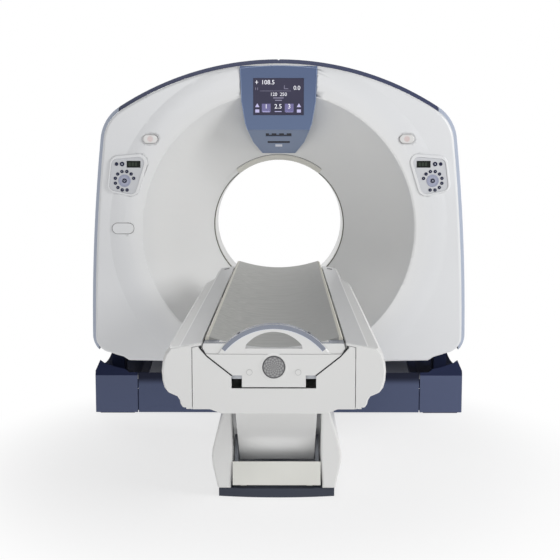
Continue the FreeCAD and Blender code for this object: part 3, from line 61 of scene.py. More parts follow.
# ---- finishes: shader sums written as plain expressions ----
class Shade:
    """One shader value; sums, products and comparisons of it add Math nodes."""

    def __init__(self, tree, socket):
        self.tree = tree
        self.socket = socket

    def _math(self, operation, *values):
        node = self.tree.nodes.new("ShaderNodeMath")
        node.operation = operation
        for slot, value in zip(node.inputs, values):
            if isinstance(value, Shade):
                self.tree.links.new(value.socket, slot)
            else:
                slot.default_value = value
        return Shade(self.tree, node.outputs[0])

    def __add__(self, other):
        return self._math("ADD", self, other)

    __radd__ = __add__

    def __mul__(self, other):
        return self._math("MULTIPLY", self, other)

    __rmul__ = __mul__

    def __sub__(self, other):
        return self._math("SUBTRACT", self, other)

    def __rsub__(self, other):
        return self._math("SUBTRACT", other, self)

    def __gt__(self, other):
        return self._math("GREATER_THAN", self, other)

    def __lt__(self, other):
        return self._math("LESS_THAN", self, other)

    def __pow__(self, other):
        return self._math("POWER", self, other)

    def abs(self):
        return self._math("ABSOLUTE", self)

    def sin(self):
        return self._math("SINE", self)

    def ripple(self, per_metre):
        """Wave from 0 to 1 along the value."""
        return (self * per_metre).sin() * 0.5 + 0.5

    def most(self, other):
        """The larger of the two."""
        return self._math("MAXIMUM", self, other)

    def turn_from(self, other):
        """Angle of the point (other, self) round its centre."""
        return self._math("ARCTAN2", self, other)

    def fade(self, low, high):
        """0 below low, 1 above high, a soft step between."""
        node = self.tree.nodes.new("ShaderNodeMapRange")
        node.interpolation_type = "SMOOTHSTEP"
        self.tree.links.new(self.socket, node.inputs["Value"])
        node.inputs["From Min"].default_value = low
        node.inputs["From Max"].default_value = high
        return Shade(self.tree, node.outputs["Result"])


class Finish:
    """A surface finish on one Principled shader, patterned on Object coordinates."""

    def __init__(self, name):
        self.mat = bpy.data.materials.new(name)
        self.mat.use_nodes = True
        self.tree = self.mat.node_tree
        self.shader = self.tree.nodes["Principled BSDF"]
        self.place = self.tree.nodes.new("ShaderNodeTexCoord").outputs["Object"]
        parts = self.node("ShaderNodeSeparateXYZ", {}, {"Vector": self.place}, out=None)
        self.x, self.y, self.z = (Shade(self.tree, parts.outputs[i]) for i in range(3))

    def node(self, kind, settings, inputs, out=0):
        """Any other node: its settings first, then the values or links of its sockets."""
        made = self.tree.nodes.new(kind)
        for key, value in settings.items():
            setattr(made, key, value)
        for key, value in inputs.items():
            if isinstance(value, Shade):
                self.tree.links.new(value.socket, made.inputs[key])
            elif isinstance(value, bpy.types.NodeSocket):
                self.tree.links.new(value, made.inputs[key])
            else:
                made.inputs[key].default_value = value
        return made if out is None else Shade(self.tree, made.outputs[out])

    def noise(self, scale, detail=3.0, stretch=(1, 1, 1)):
        where = self.node("ShaderNodeMapping", {}, {"Vector": self.place, "Scale": stretch})
        return self.node("ShaderNodeTexNoise", {},
                         {"Vector": where, "Scale": scale, "Detail": detail})

    def distance(self, x, z):
        """Distance in the front view from (x, z), the same on both sides of the middle plane."""
        side = self.x.abs() - x
        up = self.z - z
        return (side * side + up * up) ** 0.5

    def blend(self, factor, low, high):
        """Colour low where factor is 0, high where it is 1."""
        low, high = (c if isinstance(c, Shade) else (*c, 1.0) for c in (low, high))
        return self.node("ShaderNodeMix", {"data_type": "RGBA"}, {0: factor, 6: low, 7: high},
                         out=2)

    def set(self, **values):
        """Values or links for the shader's own sockets, as Base_Color=..."""
        for key, value in values.items():
            slot = self.shader.inputs[key.replace("_", " ")]
            if isinstance(value, Shade):
                self.tree.links.new(value.socket, slot)
            elif isinstance(value, tuple) and len(value) == 3:
                slot.default_value = (*value, 1.0)
            else:
                slot.default_value = value
        return self

    def relief(self, height, depth):
        """Bump of the given depth in metres."""
        bump = self.node("ShaderNodeBump", {},
                         {"Height": height, "Distance": depth, "Strength": 1.0})
        self.tree.links.new(bump.socket, self.shader.inputs["Normal"])
        return self


def spot(node):
    """Middle and half size of a part at rest."""
    low, high = (Vector(v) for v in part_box(node))
    return (low + high) / 2, (high - low) / 2


def srgb(r, g, b):
    """Linear colour of a display colour given from 0 to 255."""
    def line(c):
        c = c / 255.0
        return c / 12.92 if c <= 0.04045 else ((c + 0.055) / 1.055) ** 2.4
    return (line(r), line(g), line(b))


def toned(colour, k):
    return tuple(c * k for c in colour)


def satin(name, gloss=0.34, coat=0.25, shine=0.5):
    """Moulded skin without its colour: fine leather-like grain and a soft clear coat."""
    f = Finish(name)
    fine = f.noise(620.0, 2.0)
    wear = f.noise(14.0, 5.0)
    f.set(Roughness=gloss + 0.07 * wear + 0.04 * fine, Coat_Weight=coat, Coat_Roughness=0.22,
          Specular_IOR_Level=shine)
    return f.relief(fine, 0.00004)


def moulded(name, colour, **feel):
    """Satin moulded plastic with faint mottling."""
    f = satin(name, **feel)
    broad = f.noise(2.2, 2.0)
    return f.set(Base_Color=f.blend(broad, toned(colour, 0.96), toned(colour, 1.02)))


def painted(name, colour, gloss=0.42):
    """Powder-coated metal with a fine orange peel."""
    f = Finish(name)
    peel = f.noise(900.0, 1.0)
    cloud = f.noise(6.0, 4.0)
    f.set(Base_Color=f.blend(cloud, toned(colour, 0.92), toned(colour, 1.06)),
          Roughness=gloss + 0.12 * cloud)
    return f.relief(peel, 0.00006)


def machined(name, colour, gloss=0.28, lines=(1, 1, 1)):
    """Turned or ground metal with drawn-out tool marks."""
    f = Finish(name)
    marks = f.noise(90.0, 3.0, lines)
    f.set(Base_Color=f.blend(marks, toned(colour, 0.9), toned(colour, 1.05)), Metallic=1.0,
          Roughness=gloss + 0.16 * marks)
    return f.relief(marks, 0.00002)


def lit(name, colour):
    """Glowing element of the display, with the faint lines of its pixels."""
    f = Finish(name)
    rows = f.z.ripple(2600.0)
    return f.set(Base_Color=f.blend(rows, toned(colour, 0.12), toned(colour, 0.2)),
                 Roughness=0.35, Emission_Strength=1.0,
                 Emission_Color=f.blend(rows, toned(colour, 0.86), colour))


def enamel(name, colour, gloss=0.3, shine=0.5):
    """Small printed or inlaid trim with a slightly uneven gloss."""
    f = Finish(name)
    cloud = f.noise(160.0, 2.0)
    return f.set(Base_Color=f.blend(cloud, toned(colour, 0.93), toned(colour, 1.04)),
                 Roughness=gloss + 0.12 * cloud, Specular_IOR_Level=shine)


# housing cover: painted light, a touch brighter inside the funnel
FUNNEL_RIM = (0.60, 0.82)             # radii between which one tone turns into the other
cover = satin("cover_white")
patchy = cover.noise(2.2, 2.0)
painted_funnel_light = 1.0 - cover.distance(0.0, BORE_Z).fade(*FUNNEL_RIM)
cover.set(Base_Color=cover.blend(
    painted_funnel_light, cover.blend(patchy, srgb(210, 211, 213), srgb(215, 216, 218)),
    cover.blend(patchy, srgb(220, 220, 219), srgb(225, 225, 224))))

# middle stand cover: painted shade along its top, under the housing
middle_navy_painted_shade = satin("middle_navy_painted_shade", gloss=0.6, coat=0.0, shine=0.15)
middle_navy_painted_shade.set(Base_Color=middle_navy_painted_shade.blend(middle_navy_painted_shade.z.fade(0.150, 0.196),
                                             srgb(76, 84, 110), srgb(22, 26, 44)))

table_white = moulded("table_white", srgb(216, 216, 215), coat=0.3)
# one blue band as two copies: painted shade makes the top dark navy, painted light makes the sides
# pale blue-grey
band_painted_shade = moulded("band_navy", srgb(44, 52, 86), gloss=0.36, coat=0.1, shine=0.3)
band_painted_light = moulded("band_blue", srgb(170, 178, 194), gloss=0.36, coat=0.1, shine=0.3)
stand_navy = moulded("stand_navy", srgb(70, 79, 108), gloss=0.4, coat=0.05, shine=0.3)
# dark navy painted shade for faces under the housing: tops of the base covers and the inner frames
painted_stand_shade = moulded("painted_stand_shade", srgb(38, 44, 70), gloss=0.6, coat=0.0, shine=0.05)
black = moulded("black_plastic", srgb(34, 34, 38), gloss=0.5, coat=0.05)
rubber = moulded("belt_rubber", srgb(30, 30, 32), gloss=0.75, coat=0.0)
strip = moulded("lip_strip", srgb(212, 210, 202), gloss=0.5, coat=0.05)
film = moulded("window_film", srgb(206, 206, 200), gloss=0.5, coat=0.1)
keys_navy = moulded("keys_navy", srgb(26, 30, 56), gloss=0.45, coat=0.0, shine=0.2)
grip_strip = moulded("grip_strip", srgb(126, 132, 146), gloss=0.2, coat=0.3, shine=0.3)
plinth_dark = painted("plinth_slate", srgb(40, 46, 60), gloss=0.6)
panel_beige = painted("panel_beige", srgb(214, 214, 208), gloss=0.45)
frame_paint = painted("frame_paint", srgb(110, 114, 122))
plate_paint = painted("plate_paint", srgb(150, 153, 160))
drive_grey = painted("drive_grey", srgb(92, 96, 104), gloss=0.5)
cast = machined("cast_alloy", srgb(178, 181, 186), gloss=0.45)
steel = machined("ground_steel", srgb(190, 190, 192), lines=(8, 1, 1))
# grey for seams and grooves, and painted shade on the inner walls of the control panels' rims
seam_and_painted_shade = enamel("seam_grey_and_painted_shade", srgb(126, 126, 126), gloss=0.5)
# light grey for the cover locks, and painted shade in rings round the press buttons and the plugs
lock_grey_and_painted_shade = enamel("lock_grey_and_painted_shade", srgb(184, 184, 184), gloss=0.4)
# dark ring of painted shade at the bore's edge
bore_edge_painted_shade = enamel("bore_edge_painted_shade_grey", srgb(96, 95, 88), gloss=0.45)
# dark pads of painted shade for slots, vents and lock slots
painted_slot_shade = enamel("painted_slot_shade", srgb(20, 23, 40), gloss=0.5, shine=0.15)
# light print for marks on keys, dial and housing, and painted highlight on the grip's front
marks_and_painted_highlight = enamel("marks_and_painted_highlight", srgb(206, 210, 222), gloss=0.35)
# painted highlight along the display housing's edge
bezel_rim_painted_highlight = enamel("bezel_rim_painted_highlight", srgb(128, 144, 176), gloss=0.3)
lcd_dark = enamel("lcd_green_black", srgb(24, 28, 26), gloss=0.4, shine=0.1)
lcd_lit = enamel("lcd_segments", srgb(52, 60, 52), gloss=0.4, shine=0.1)
clip_dark = enamel("clip_dark", srgb(70, 72, 80), gloss=0.4)
# dark grey for the seams of the table's end, and painted shade in the gaps beside the cradle
seam_and_gap_shade = enamel("dark_seam_and_gap_shade", srgb(48, 48, 50), gloss=0.7, shine=0.2)
glow_white = lit("screen_white", srgb(238, 238, 246))
glow_lilac = lit("screen_lilac", srgb(176, 172, 214))
glow_violet = lit("screen_violet", srgb(84, 78, 132))
glow_line = lit("screen_line", srgb(128, 124, 150))

# display housing: painted light, a little cooler and lighter towards the folded bottom
bezel = Finish("bezel_blue")
painted_fold_light = bezel.z.fade(1.468, 1.484) * 0.6 + bezel.z.fade(1.45, 1.80) * 0.4
skin = bezel.noise(500.0, 2.0)
bezel.set(Base_Color=bezel.blend(painted_fold_light, srgb(104, 122, 154), srgb(78, 94, 128)),
          Roughness=0.4 + 0.08 * skin, Specular_IOR_Level=0.3).relief(skin, 0.00003)

screen = Finish("screen_glass")
haze = screen.noise(7.0, 3.0)
screen.set(Base_Color=screen.blend(haze, srgb(34, 33, 46), srgb(44, 42, 56)),
           Emission_Color=screen.blend(haze, srgb(36, 36, 52), srgb(46, 45, 62)),
           Emission_Strength=1.0, Roughness=0.3 + 0.05 * haze, Specular_IOR_Level=0.08)

# table side covers: painted shade on the flat top, a painted highlight along the crease where it
# turns down
SHOULDER_Z = 0.74                     # the top of the covers lies above this height
CREASE_X, CREASE_HALF = 0.281, 0.0022
side_white = satin("side_white", coat=0.3)
across = side_white.x.abs()
upper = side_white.z > SHOULDER_Z
painted_top_shade = (across < CREASE_X) * upper * 0.6
painted_crease_highlight = ((across - CREASE_X).abs() < CREASE_HALF) * upper
tone = side_white.blend(painted_top_shade, srgb(215, 215, 214), srgb(184, 185, 188))
side_white.set(Base_Color=side_white.blend(painted_crease_highlight, tone, srgb(236, 236, 236)))

# press buttons: white with a faded reddish round in the middle
BLOT_EDGE = (0.010, 0.019)
stop_at, stop_half = spot("stop_button_right")
button_white = Finish("button_white")
blot = button_white.noise(260.0, 3.0)
inside_blot = 1.0 - button_white.distance(stop_at.x, stop_at.z).fade(*BLOT_EDGE)
button_white.set(Base_Color=button_white.blend(inside_blot * (0.25 + 0.75 * blot),
                                               srgb(208, 207, 206), srgb(194, 166, 164)),
                 Roughness=0.26 + 0.1 * blot, Coat_Weight=0.4, Coat_Roughness=0.15)

# control panels: light grey film, and a lilac dial with ticks round its edge
TICKS_FROM, TICK_COUNT = 0.019, 40.0
dial_at = spot("hub_button_right")[0]
membrane = Finish("panel_membrane")
cloud = membrane.noise(40.0, 3.0)
membrane.set(Base_Color=membrane.blend(cloud, srgb(190, 192, 196), srgb(198, 199, 203)),
             Roughness=0.42 + 0.1 * cloud)
dial_ring = Finish("dial_lilac")
angle = (dial_ring.z - dial_at.z).turn_from(dial_ring.x.abs() - dial_at.x)
outer = dial_ring.distance(dial_at.x, dial_at.z) > TICKS_FROM
ticks = ((angle * TICK_COUNT).sin() > 0.5) * outer
dial_ring.set(Base_Color=dial_ring.blend(ticks, srgb(158, 162, 182), srgb(122, 127, 152)),
              Roughness=0.35 + 0.1 * ticks)

# round badge: turned metal with a plain ripple pattern and a darker rim
BADGE_DARK = (0.0300, 0.0318)
badge_metal = Finish("badge_metal")
badge_r = badge_metal.distance(0.0, BADGE_Z)
turned_lines = badge_r.ripple(3200.0)
around = (badge_metal.z - BADGE_Z).turn_from(badge_metal.x)
rosette = ((around * 12.0).sin() * (badge_r * 620.0).sin()) * 0.5 + 0.5
brushed = badge_metal.noise(70.0, 3.0)
rim_dark = badge_r.fade(*BADGE_DARK)
plain_plate = badge_metal.blend(rosette, srgb(104, 104, 106), srgb(150, 150, 150))
badge_metal.set(Base_Color=badge_metal.blend(rim_dark, plain_plate, srgb(84, 84, 86)),
                Metallic=0.85, Roughness=0.5 + 0.1 * turned_lines + 0.12 * brushed)
badge_metal.relief(rosette + rim_dark, 0.0003)

# cradle: fine lines drawn across it under a matte skin, pale along its rims; painted light makes
# its left half lighter and its right half darker
CRADLE_RIM = (0.1965, 0.1985)
cradle = Finish("cradle_skin")
lines = cradle.noise(60.0, 4.0, (0.12, 2.4, 2.4))
side_lit_tone = cradle.blend(cradle.x.fade(-0.2, 0.2), srgb(166, 166, 160), srgb(146, 146, 143))
lined_side_lit_tone = cradle.blend(lines.fade(0.3, 0.7), side_lit_tone, srgb(144, 144, 140))
rim = cradle.x.abs().fade(*CRADLE_RIM)
cradle.set(Base_Color=cradle.blend(rim, lined_side_lit_tone, srgb(206, 203, 190)), Coat_Weight=0.15,
           Coat_Roughness=0.3, Roughness=0.36 + 0.2 * lines).relief(lines, 0.00002)

FINISH_OF = {
    "cover_white": cover, "table_white": table_white, "band_navy": band_painted_shade,
    "band_blue": band_painted_light, "base_navy": stand_navy, "plinth_slate": plinth_dark,
    "panel_beige": panel_beige, "frame_paint": frame_paint, "cast_alloy": cast, "steel": steel,
    "drive_grey": drive_grey, "block_black": black, "ring_black": black, "belt_rubber": rubber,
    "strip_beige": strip, "window_film": film, "button_white": button_white,
    "keys_navy": keys_navy, "bezel_blue": bezel, "screen_dark": screen, "cradle_grey": cradle,
}
for name, node in nodes.items():
    node.data.materials.clear()
    node.data.materials.append(FINISH_OF[slot_of[name]].mat)


# ---- shapes: each faces the front, with its front face at y = 0 ----
MERGE_DIST = 0.00001                  # corners nearer than this become one
FLAT_WITHIN = 0.3                     # degrees between triangles that become one face
BEVEL_FROM = 34                       # degrees; only sharper edges are softened
FIGURE_SHARE = 0.7                    # height of a figure as a share of its type size


def about(axis, degrees):
    """Turn about an axis through the origin."""
    return Matrix.Rotation(math.radians(degrees), 3, axis)


def swung(bm, matrix):
    """The shape turned round the origin."""
    bmesh.ops.rotate(bm, verts=bm.verts, cent=(0, 0, 0), matrix=matrix)
    return bm


def at(bm, x, y, z, tip=0.0, lean=0.0):
    """The shape tipped back about x, leant about y and moved to its place."""
    for degrees, axis in ((tip, "X"), (lean, "Y")):
        if degrees:
            swung(bm, about(axis, degrees))
    bmesh.ops.translate(bm, verts=bm.verts, vec=(x, y, z))
    return bm


def thickened(bm, depth, edge=0.0):
    """Flat shape in the XY plane stood up, made a block and rounded at its front edge."""
    swung(bm, about("X", 90))
    outline = [e for e in bm.edges if e.is_boundary]
    grown = bmesh.ops.extrude_face_region(bm, geom=list(bm.faces))
    back = [v for v in grown["geom"] if isinstance(v, bmesh.types.BMVert)]
    bmesh.ops.translate(bm, verts=back, vec=(0, depth, 0))
    if edge:
        bmesh.ops.bevel(bm, geom=outline, offset=edge, offset_type="OFFSET", segments=3,
                        profile=0.5, affect="EDGES", material=-1)
    return bm


def block(width, height, depth, edge=0.0):
    bm = bmesh.new()
    bmesh.ops.create_grid(bm, x_segments=1, y_segments=1, size=0.5)
    bmesh.ops.scale(bm, vec=(width, height, 1), verts=bm.verts)
    return thickened(bm, depth, edge)


def disc(radius, depth, edge=0.0, segments=40):
    bm = bmesh.new()
    bmesh.ops.create_circle(bm, cap_ends=True, segments=segments, radius=radius)
    return thickened(bm, depth, edge)


def oval_face(length, height):
    """Circle drawn out to a slot shape."""
    bm = bmesh.new()
    bmesh.ops.create_circle(bm, cap_ends=True, segments=64, radius=height / 2)
    run = (length - height) / 2
    for v in bm.verts:
        if abs(v.co.x) > 1e-6:
            v.co.x += math.copysign(run, v.co.x)
    return bm


def oval(length, height, depth, edge):
    """Oval button or plate with a rounded front edge."""
    return thickened(oval_face(length, height), depth, edge)


def oval_ring(length, height, width, depth):
    """Oval frame of the given width round an opening."""
    bm = oval_face(length, height)
    inner = list(bm.faces)
    bmesh.ops.inset_region(bm, faces=inner, thickness=width, use_boundary=True,
                           use_even_offset=True)
    bmesh.ops.delete(bm, geom=inner, context="FACES")
    return thickened(bm, depth)


def square_ring(inner, outer, front, back):
    """Profile of a ring with a square section, as (radius, y) corners."""
    return [(inner, front), (outer, front), (outer, back), (inner, back)]


def turned_band(profile, sweep=360.0, steps=120):
    """Closed profile of (radius, y) corners turned about the y axis, evenly about the top."""
    bm = bmesh.new()
    face = bm.faces.new([bm.verts.new((0, y, r)) for r, y in profile])
    whole = sweep == 360.0
    if whole:
        bmesh.ops.delete(bm, geom=[face], context="FACES_ONLY")
    swung(bm, about("Y", -sweep / 2))
    bmesh.ops.spin(bm, geom=bm.verts[:] + bm.edges[:] + bm.faces[:], cent=(0, 0, 0),
                   axis=(0, 1, 0), angle=math.radians(sweep), steps=steps, use_merge=whole)
    return bm


def placed(name, data):
    """A new object in the scene."""
    obj = bpy.data.objects.new(name, data)
    bpy.context.scene.collection.objects.link(obj)
    return obj


def as_mesh(name, bm):
    """The shape as a mesh, with its bmesh freed."""
    mesh = bpy.data.meshes.new(name)
    bm.to_mesh(mesh)
    bm.free()
    return mesh


def from_curve(data):
    """Shape of a curve or of lettering."""
    obj = placed("drawn", data)
    mesh = bpy.data.meshes.new_from_object(obj)
    bpy.data.objects.remove(obj)
    bm = bmesh.new()
    bm.from_mesh(mesh)
    bpy.data.meshes.remove(mesh)
    return bm


def wire(points, radius):
    """Round line through points."""
    data = bpy.data.curves.new("line", "CURVE")
    data.dimensions = "3D"
    data.bevel_depth = radius
    data.bevel_resolution = 2
    data.use_fill_caps = True
    spline = data.splines.new("POLY")
    spline.points.add(len(points) - 1)
    for point, co in zip(spline.points, points):
        point.co = (*co, 1.0)
    return from_curve(data)


def figures(text, height):
    """Plain numbers of the given height."""
    data = bpy.data.curves.new("figures", "FONT")
    data.body = text
    data.size = height / FIGURE_SHARE
    data.align_x = "CENTER"
    data.align_y = "CENTER"
    data.extrude = 0.0002
    return swung(from_curve(data), about("X", 90))


def gathered(parts):
    """Several shapes as one."""
    whole = bmesh.new()
    for part in parts:
        step = as_mesh("step", part)
        whole.from_mesh(step)
        bpy.data.meshes.remove(step)
    return whole


def finish_piece(obj, body, smooth, bevel=0.0):
    """Smooth shading and soft edges, and what the piece rides on."""
    mesh = obj.data
    for poly in mesh.polygons:
        poly.use_smooth = True
    mesh.set_sharp_from_angle(angle=math.radians(smooth))
    if bevel:
        mod = obj.modifiers.new("edges", "BEVEL")
        mod.width = bevel
        mod.segments = 2
        mod.limit_method = "ANGLE"
        mod.angle_limit = math.radians(BEVEL_FROM)
    mod = obj.modifiers.new("shading", "WEIGHTED_NORMAL")
    mod.keep_sharp = True
    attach(obj, body)


def piece(name, bm, finish, body, smooth=30.0, instead_of=()):
    """A finished piece from a shape, riding on a body."""
    bmesh.ops.remove_doubles(bm, verts=bm.verts, dist=MERGE_DIST)
    bmesh.ops.recalc_face_normals(bm, faces=bm.faces)
    obj = placed(name, as_mesh(name, bm))
    obj.data.materials.append(finish.mat)
    finish_piece(obj, body, smooth)
    if instead_of:
        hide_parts(*instead_of)


def dressed(node, smooth, bevel):
    """A merged copy of a part with softened edges and smooth shading, in its place."""
    bm = bmesh.new()
    bm.from_mesh(nodes[node].data)
    bmesh.ops.remove_doubles(bm, verts=bm.verts, dist=MERGE_DIST)
    bmesh.ops.dissolve_limit(bm, angle_limit=math.radians(FLAT_WITHIN), verts=bm.verts,
                             edges=bm.edges)
    obj = placed(node + "_finished", as_mesh(node + "_finished", bm))
    obj.data.materials.append(FINISH_OF[slot_of[node]].mat)
    finish_piece(obj, body_of[node], smooth, bevel)
    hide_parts(node)
    return obj


def everywhere(centre, normal):
    """The choice of every face."""
    return True


def refinished(obj, finish, chosen=everywhere):
    """Another finish on the faces that chosen(centre, normal) picks."""
    obj.data.materials.append(finish.mat)
    index = len(obj.data.materials) - 1
    for poly in obj.data.polygons:
        if chosen(poly.center, poly.normal):
            poly.material_index = index


# ---- parts that get softened edges, with the width of the softening ----
SOFT_EDGES = {
    "front_cover": 0.0, "scoop_liner": 0.0, "rear_cover": 0.0, "top_band": 0.0012,
    "side_bands": 0.0012, "display_bezel": 0.0, "control_panel_left": 0.0008,
    "control_panel_right": 0.0008, "base_tower_cover_left": 0.004,
    "base_tower_cover_right": 0.004, "base_front_cover": 0.002, "base_rear_cover": 0.002,
    "leg_covers": 0.003, "arm_cover": 0.0015, "pedestal_front_panel": 0.001,
    "table_side_cover_left": 0.0012, "table_side_cover_right": 0.0012,
    "table_end_cover": 0.0014, "table_end_tongue": 0.0025, "cradle_shell": 0.0015,
    "cradle_end_cap": 0.003, "table_plinth": 0.0, "bore_lip_strip": 0.001,
    "table_frame": 0.001, "front_arm_pair": 0.001, "rear_arm_pair": 0.001,
    "upright_left": 0.002, "upright_right": 0.002, "gantry_base_frame": 0.002,
    "link_beam": 0.003,
}
ROLLED = ("table_side_cover_left", "table_side_cover_right", "leg_covers")
SHARP_FROM, ROLLED_SHARP_FROM = 24.0, 50.0    # degrees; shading is smooth below
TABLE_END_FACES_Y = -2.800                    # the table's end lies in front of this
FACES_UP = 0.25                               # a face with more than this in n.z faces up
finished = {name: dressed(name, ROLLED_SHARP_FROM if name in ROLLED else SHARP_FROM, width)
            for name, width in SOFT_EDGES.items()}
# inner uprights and frame: painted shade, as dark as the gap they stand in
for name in ("upright_left", "upright_right", "gantry_base_frame"):
    refinished(finished[name], painted_stand_shade)
# side covers, except their ends: painted shade on the flat top and a painted highlight on the
# crease
for name in ("table_side_cover_left", "table_side_cover_right"):
    refinished(finished[name], side_white, lambda c, n: c.y > TABLE_END_FACES_Y)
# the middle cover with painted shade along its top
refinished(finished["base_front_cover"], middle_navy_painted_shade)
# up-facing faces of the base covers: painted shade from the housing above
for name in ("base_tower_cover_left", "base_tower_cover_right", "base_front_cover"):
    refinished(finished[name], painted_stand_shade, lambda c, n: n.z > FACES_UP)

# ---- display: figures and lit keys on the glass ----
PRINT_PROUD = 0.0004                  # how far marks stand out from what they lie on
PRINT_DEPTH, KEY_DEPTH = 0.0003, 0.0002
glass_at, glass_half = spot("display_screen")
GLASS_Y = glass_at.y - glass_half.y


def on_glass(bm, across, down):
    """Shape placed on the screen, by its share of the width and of the height."""
    x = glass_at.x + glass_half.x * (2 * across - 1)
    z = glass_at.z + glass_half.z * (1 - 2 * down)
    return at(bm, x, GLASS_Y - PRINT_PROUD, z)


def bars_on_glass(rows, depth=PRINT_DEPTH):
    """Bars from rows of width, height, and the shares across and down."""
    return [on_glass(block(width, height, depth), across, down)
            for width, height, across, down in rows]


# figures and their heights, or widths and heights of bars, then shares across and down
FIGURE_ROWS = (("108.5", 0.0215, 0.290, 0.114), ("0.0", 0.0200, 0.865, 0.266),
               ("1", 0.0220, 0.255, 0.770), ("2.5", 0.0220, 0.492, 0.770),
               ("3", 0.0220, 0.712, 0.770), ("120  250", 0.0165, 0.5, 0.440))
CROSS_ROWS = ((0.0030, 0.0180, 0.067, 0.107), (0.0150, 0.0026, 0.067, 0.107))
LINE_ROWS = ((0.1560, 0.0012, 0.44, 0.345), (0.0520, 0.0040, 0.5, 0.535),
             (0.0340, 0.0040, 0.5, 0.600), (0.0200, 0.0024, 0.655, 0.285),
             (0.0024, 0.0160, 0.615, 0.240), (0.0020, 0.0120, 0.045, 0.285),
             (0.0020, 0.0120, 0.085, 0.285))
KEY_ROWS = ((0.0440, 0.0410, 0.255, 0.805), (0.0440, 0.0410, 0.712, 0.805))
FOOT_ROWS = ((0.0200, 0.0150, 0.078, 0.890), (0.0200, 0.0150, 0.905, 0.890),
             (0.0360, 0.0070, 0.255, 0.905), (0.0360, 0.0070, 0.712, 0.905),
             (0.0340, 0.0036, 0.492, 0.905))
ARROW_R, ARROWS_ACROSS, ARROWS_DOWN = 0.0125, (0.078, 0.905), 0.750
piece("screen_figures", gathered(
    [on_glass(figures(text, height), across, down) for text, height, across, down in FIGURE_ROWS]
    + bars_on_glass(CROSS_ROWS)), glow_white, HOUSING)
piece("screen_lines", gathered(bars_on_glass(LINE_ROWS)), glow_line, HOUSING)
piece("screen_keys_violet", gathered(bars_on_glass(KEY_ROWS, KEY_DEPTH)), glow_violet, HOUSING)
piece("screen_keys_lilac", gathered(
    [on_glass(disc(ARROW_R, PRINT_DEPTH, segments=3), across, ARROWS_DOWN)
     for across in ARROWS_ACROSS]
    + bars_on_glass(FOOT_ROWS)), glow_lilac, HOUSING)

# ---- display housing: a light rim of painted highlight, and slots in its folded underside ----
BEZEL_Y = -0.475
RIM_R, RIM_PROUD = 0.0018, 0.0002
FOLD_TOP = Vector((0.0, BEZEL_Y, 1.478))      # the front folds back below this line
FOLD_END = Vector((0.0, -0.0788, 1.360))
fold_way = FOLD_END - FOLD_TOP
fold_tip = 90.0 - math.degrees(math.atan2(-fold_way.z, fold_way.y))
fold_out = Vector((0.0, fold_way.z, -fold_way.y)).normalized()


def on_fold(bm, part_way, x=0.0, proud=PRINT_PROUD):
    """Shape laid on the folded underside, part_way from its top."""
    place = FOLD_TOP + fold_way * part_way + fold_out * proud
    return at(bm, x, place.y, place.z, tip=fold_tip)


def rim_point(x, z):
    """Point on the front edge of the display housing."""
    depth = max(0.0, (FOLD_TOP.z - z) / -fold_way.z) * fold_way.y
    return (x, BEZEL_Y + depth - RIM_PROUD, z)


RIM_SIDE = [(0.190, 1.782), (0.1845, 1.618), (0.1665, 1.510), (0.1555, 1.478),
            (0.1310, 1.418), (0.0885, 1.363)]
ARCH_Z, ARCH_R = 0.332, 1.462         # centre and radius of the housing's arched top edge
RIM_TOP = [(mm / 1000.0, ARCH_Z + math.sqrt(ARCH_R ** 2 - (mm / 1000.0) ** 2))
           for mm in range(-180, 181, 30)]
rim_line = [(-x, z) for x, z in RIM_SIDE[::-1]] + RIM_TOP + RIM_SIDE
SLOT_ROWS = ((0.130, 0.044, 0.195), (0.116, 0.032, 0.505))    # width, height, part way down
SLOT_DEPTH = 0.0010
HOLE_R, HOLE_DEPTH, HOLE_DOWN = 0.0030, 0.0008, 0.77
RIB_SIZE, RIB_EDGE = (0.014, 0.022, 0.0012), 0.0003
RIBS_X, RIBS_DOWN, RIBS_PROUD = (-0.042, -0.004, 0.034), 0.165, 0.0010
PAD_SIZE, PAD_DOWN = (0.036, 0.040), 0.655
piece("bezel_rim", wire([rim_point(x, z) for x, z in rim_line], RIM_R), bezel_rim_painted_highlight, HOUSING)
# the slots and the hole are dark pads of painted shade
piece("bezel_slots", gathered(
    [on_fold(block(width, height, SLOT_DEPTH), down) for width, height, down in SLOT_ROWS]
    + [on_fold(disc(HOLE_R, HOLE_DEPTH), HOLE_DOWN)]), painted_slot_shade, HOUSING)
piece("bezel_slot_ribs", gathered([
    on_fold(block(*RIB_SIZE, RIB_EDGE), RIBS_DOWN, x, RIBS_PROUD) for x in RIBS_X
]), bezel, HOUSING)
piece("bezel_mark", on_fold(block(*PAD_SIZE, SLOT_DEPTH), PAD_DOWN), marks_and_painted_highlight, HOUSING)

# ---- bore: seam over the strip, and a dark ring of painted shade at the edge of the opening ----
LIP_Y = -0.020                        # front edge of the bore
SCOOP_SLOPE = 0.445 / 0.342           # depth of the funnel over its width
SEAM_R = (0.3780, 0.3804)
SEAM_PROUD, SEAM_DEEP = 0.0014, -0.001
SEAM_SWEEP, SEAM_STEPS = 74.0, 48
EDGE_R = 0.3548
EDGE_FRONT_Y, EDGE_BACK_Y = (-0.0212, -0.0274), -0.0190       # front: at the bore, at EDGE_R


def scoop_point(r, proud):
    return (r, LIP_Y - (r - BORE_R) * SCOOP_SLOPE - proud)


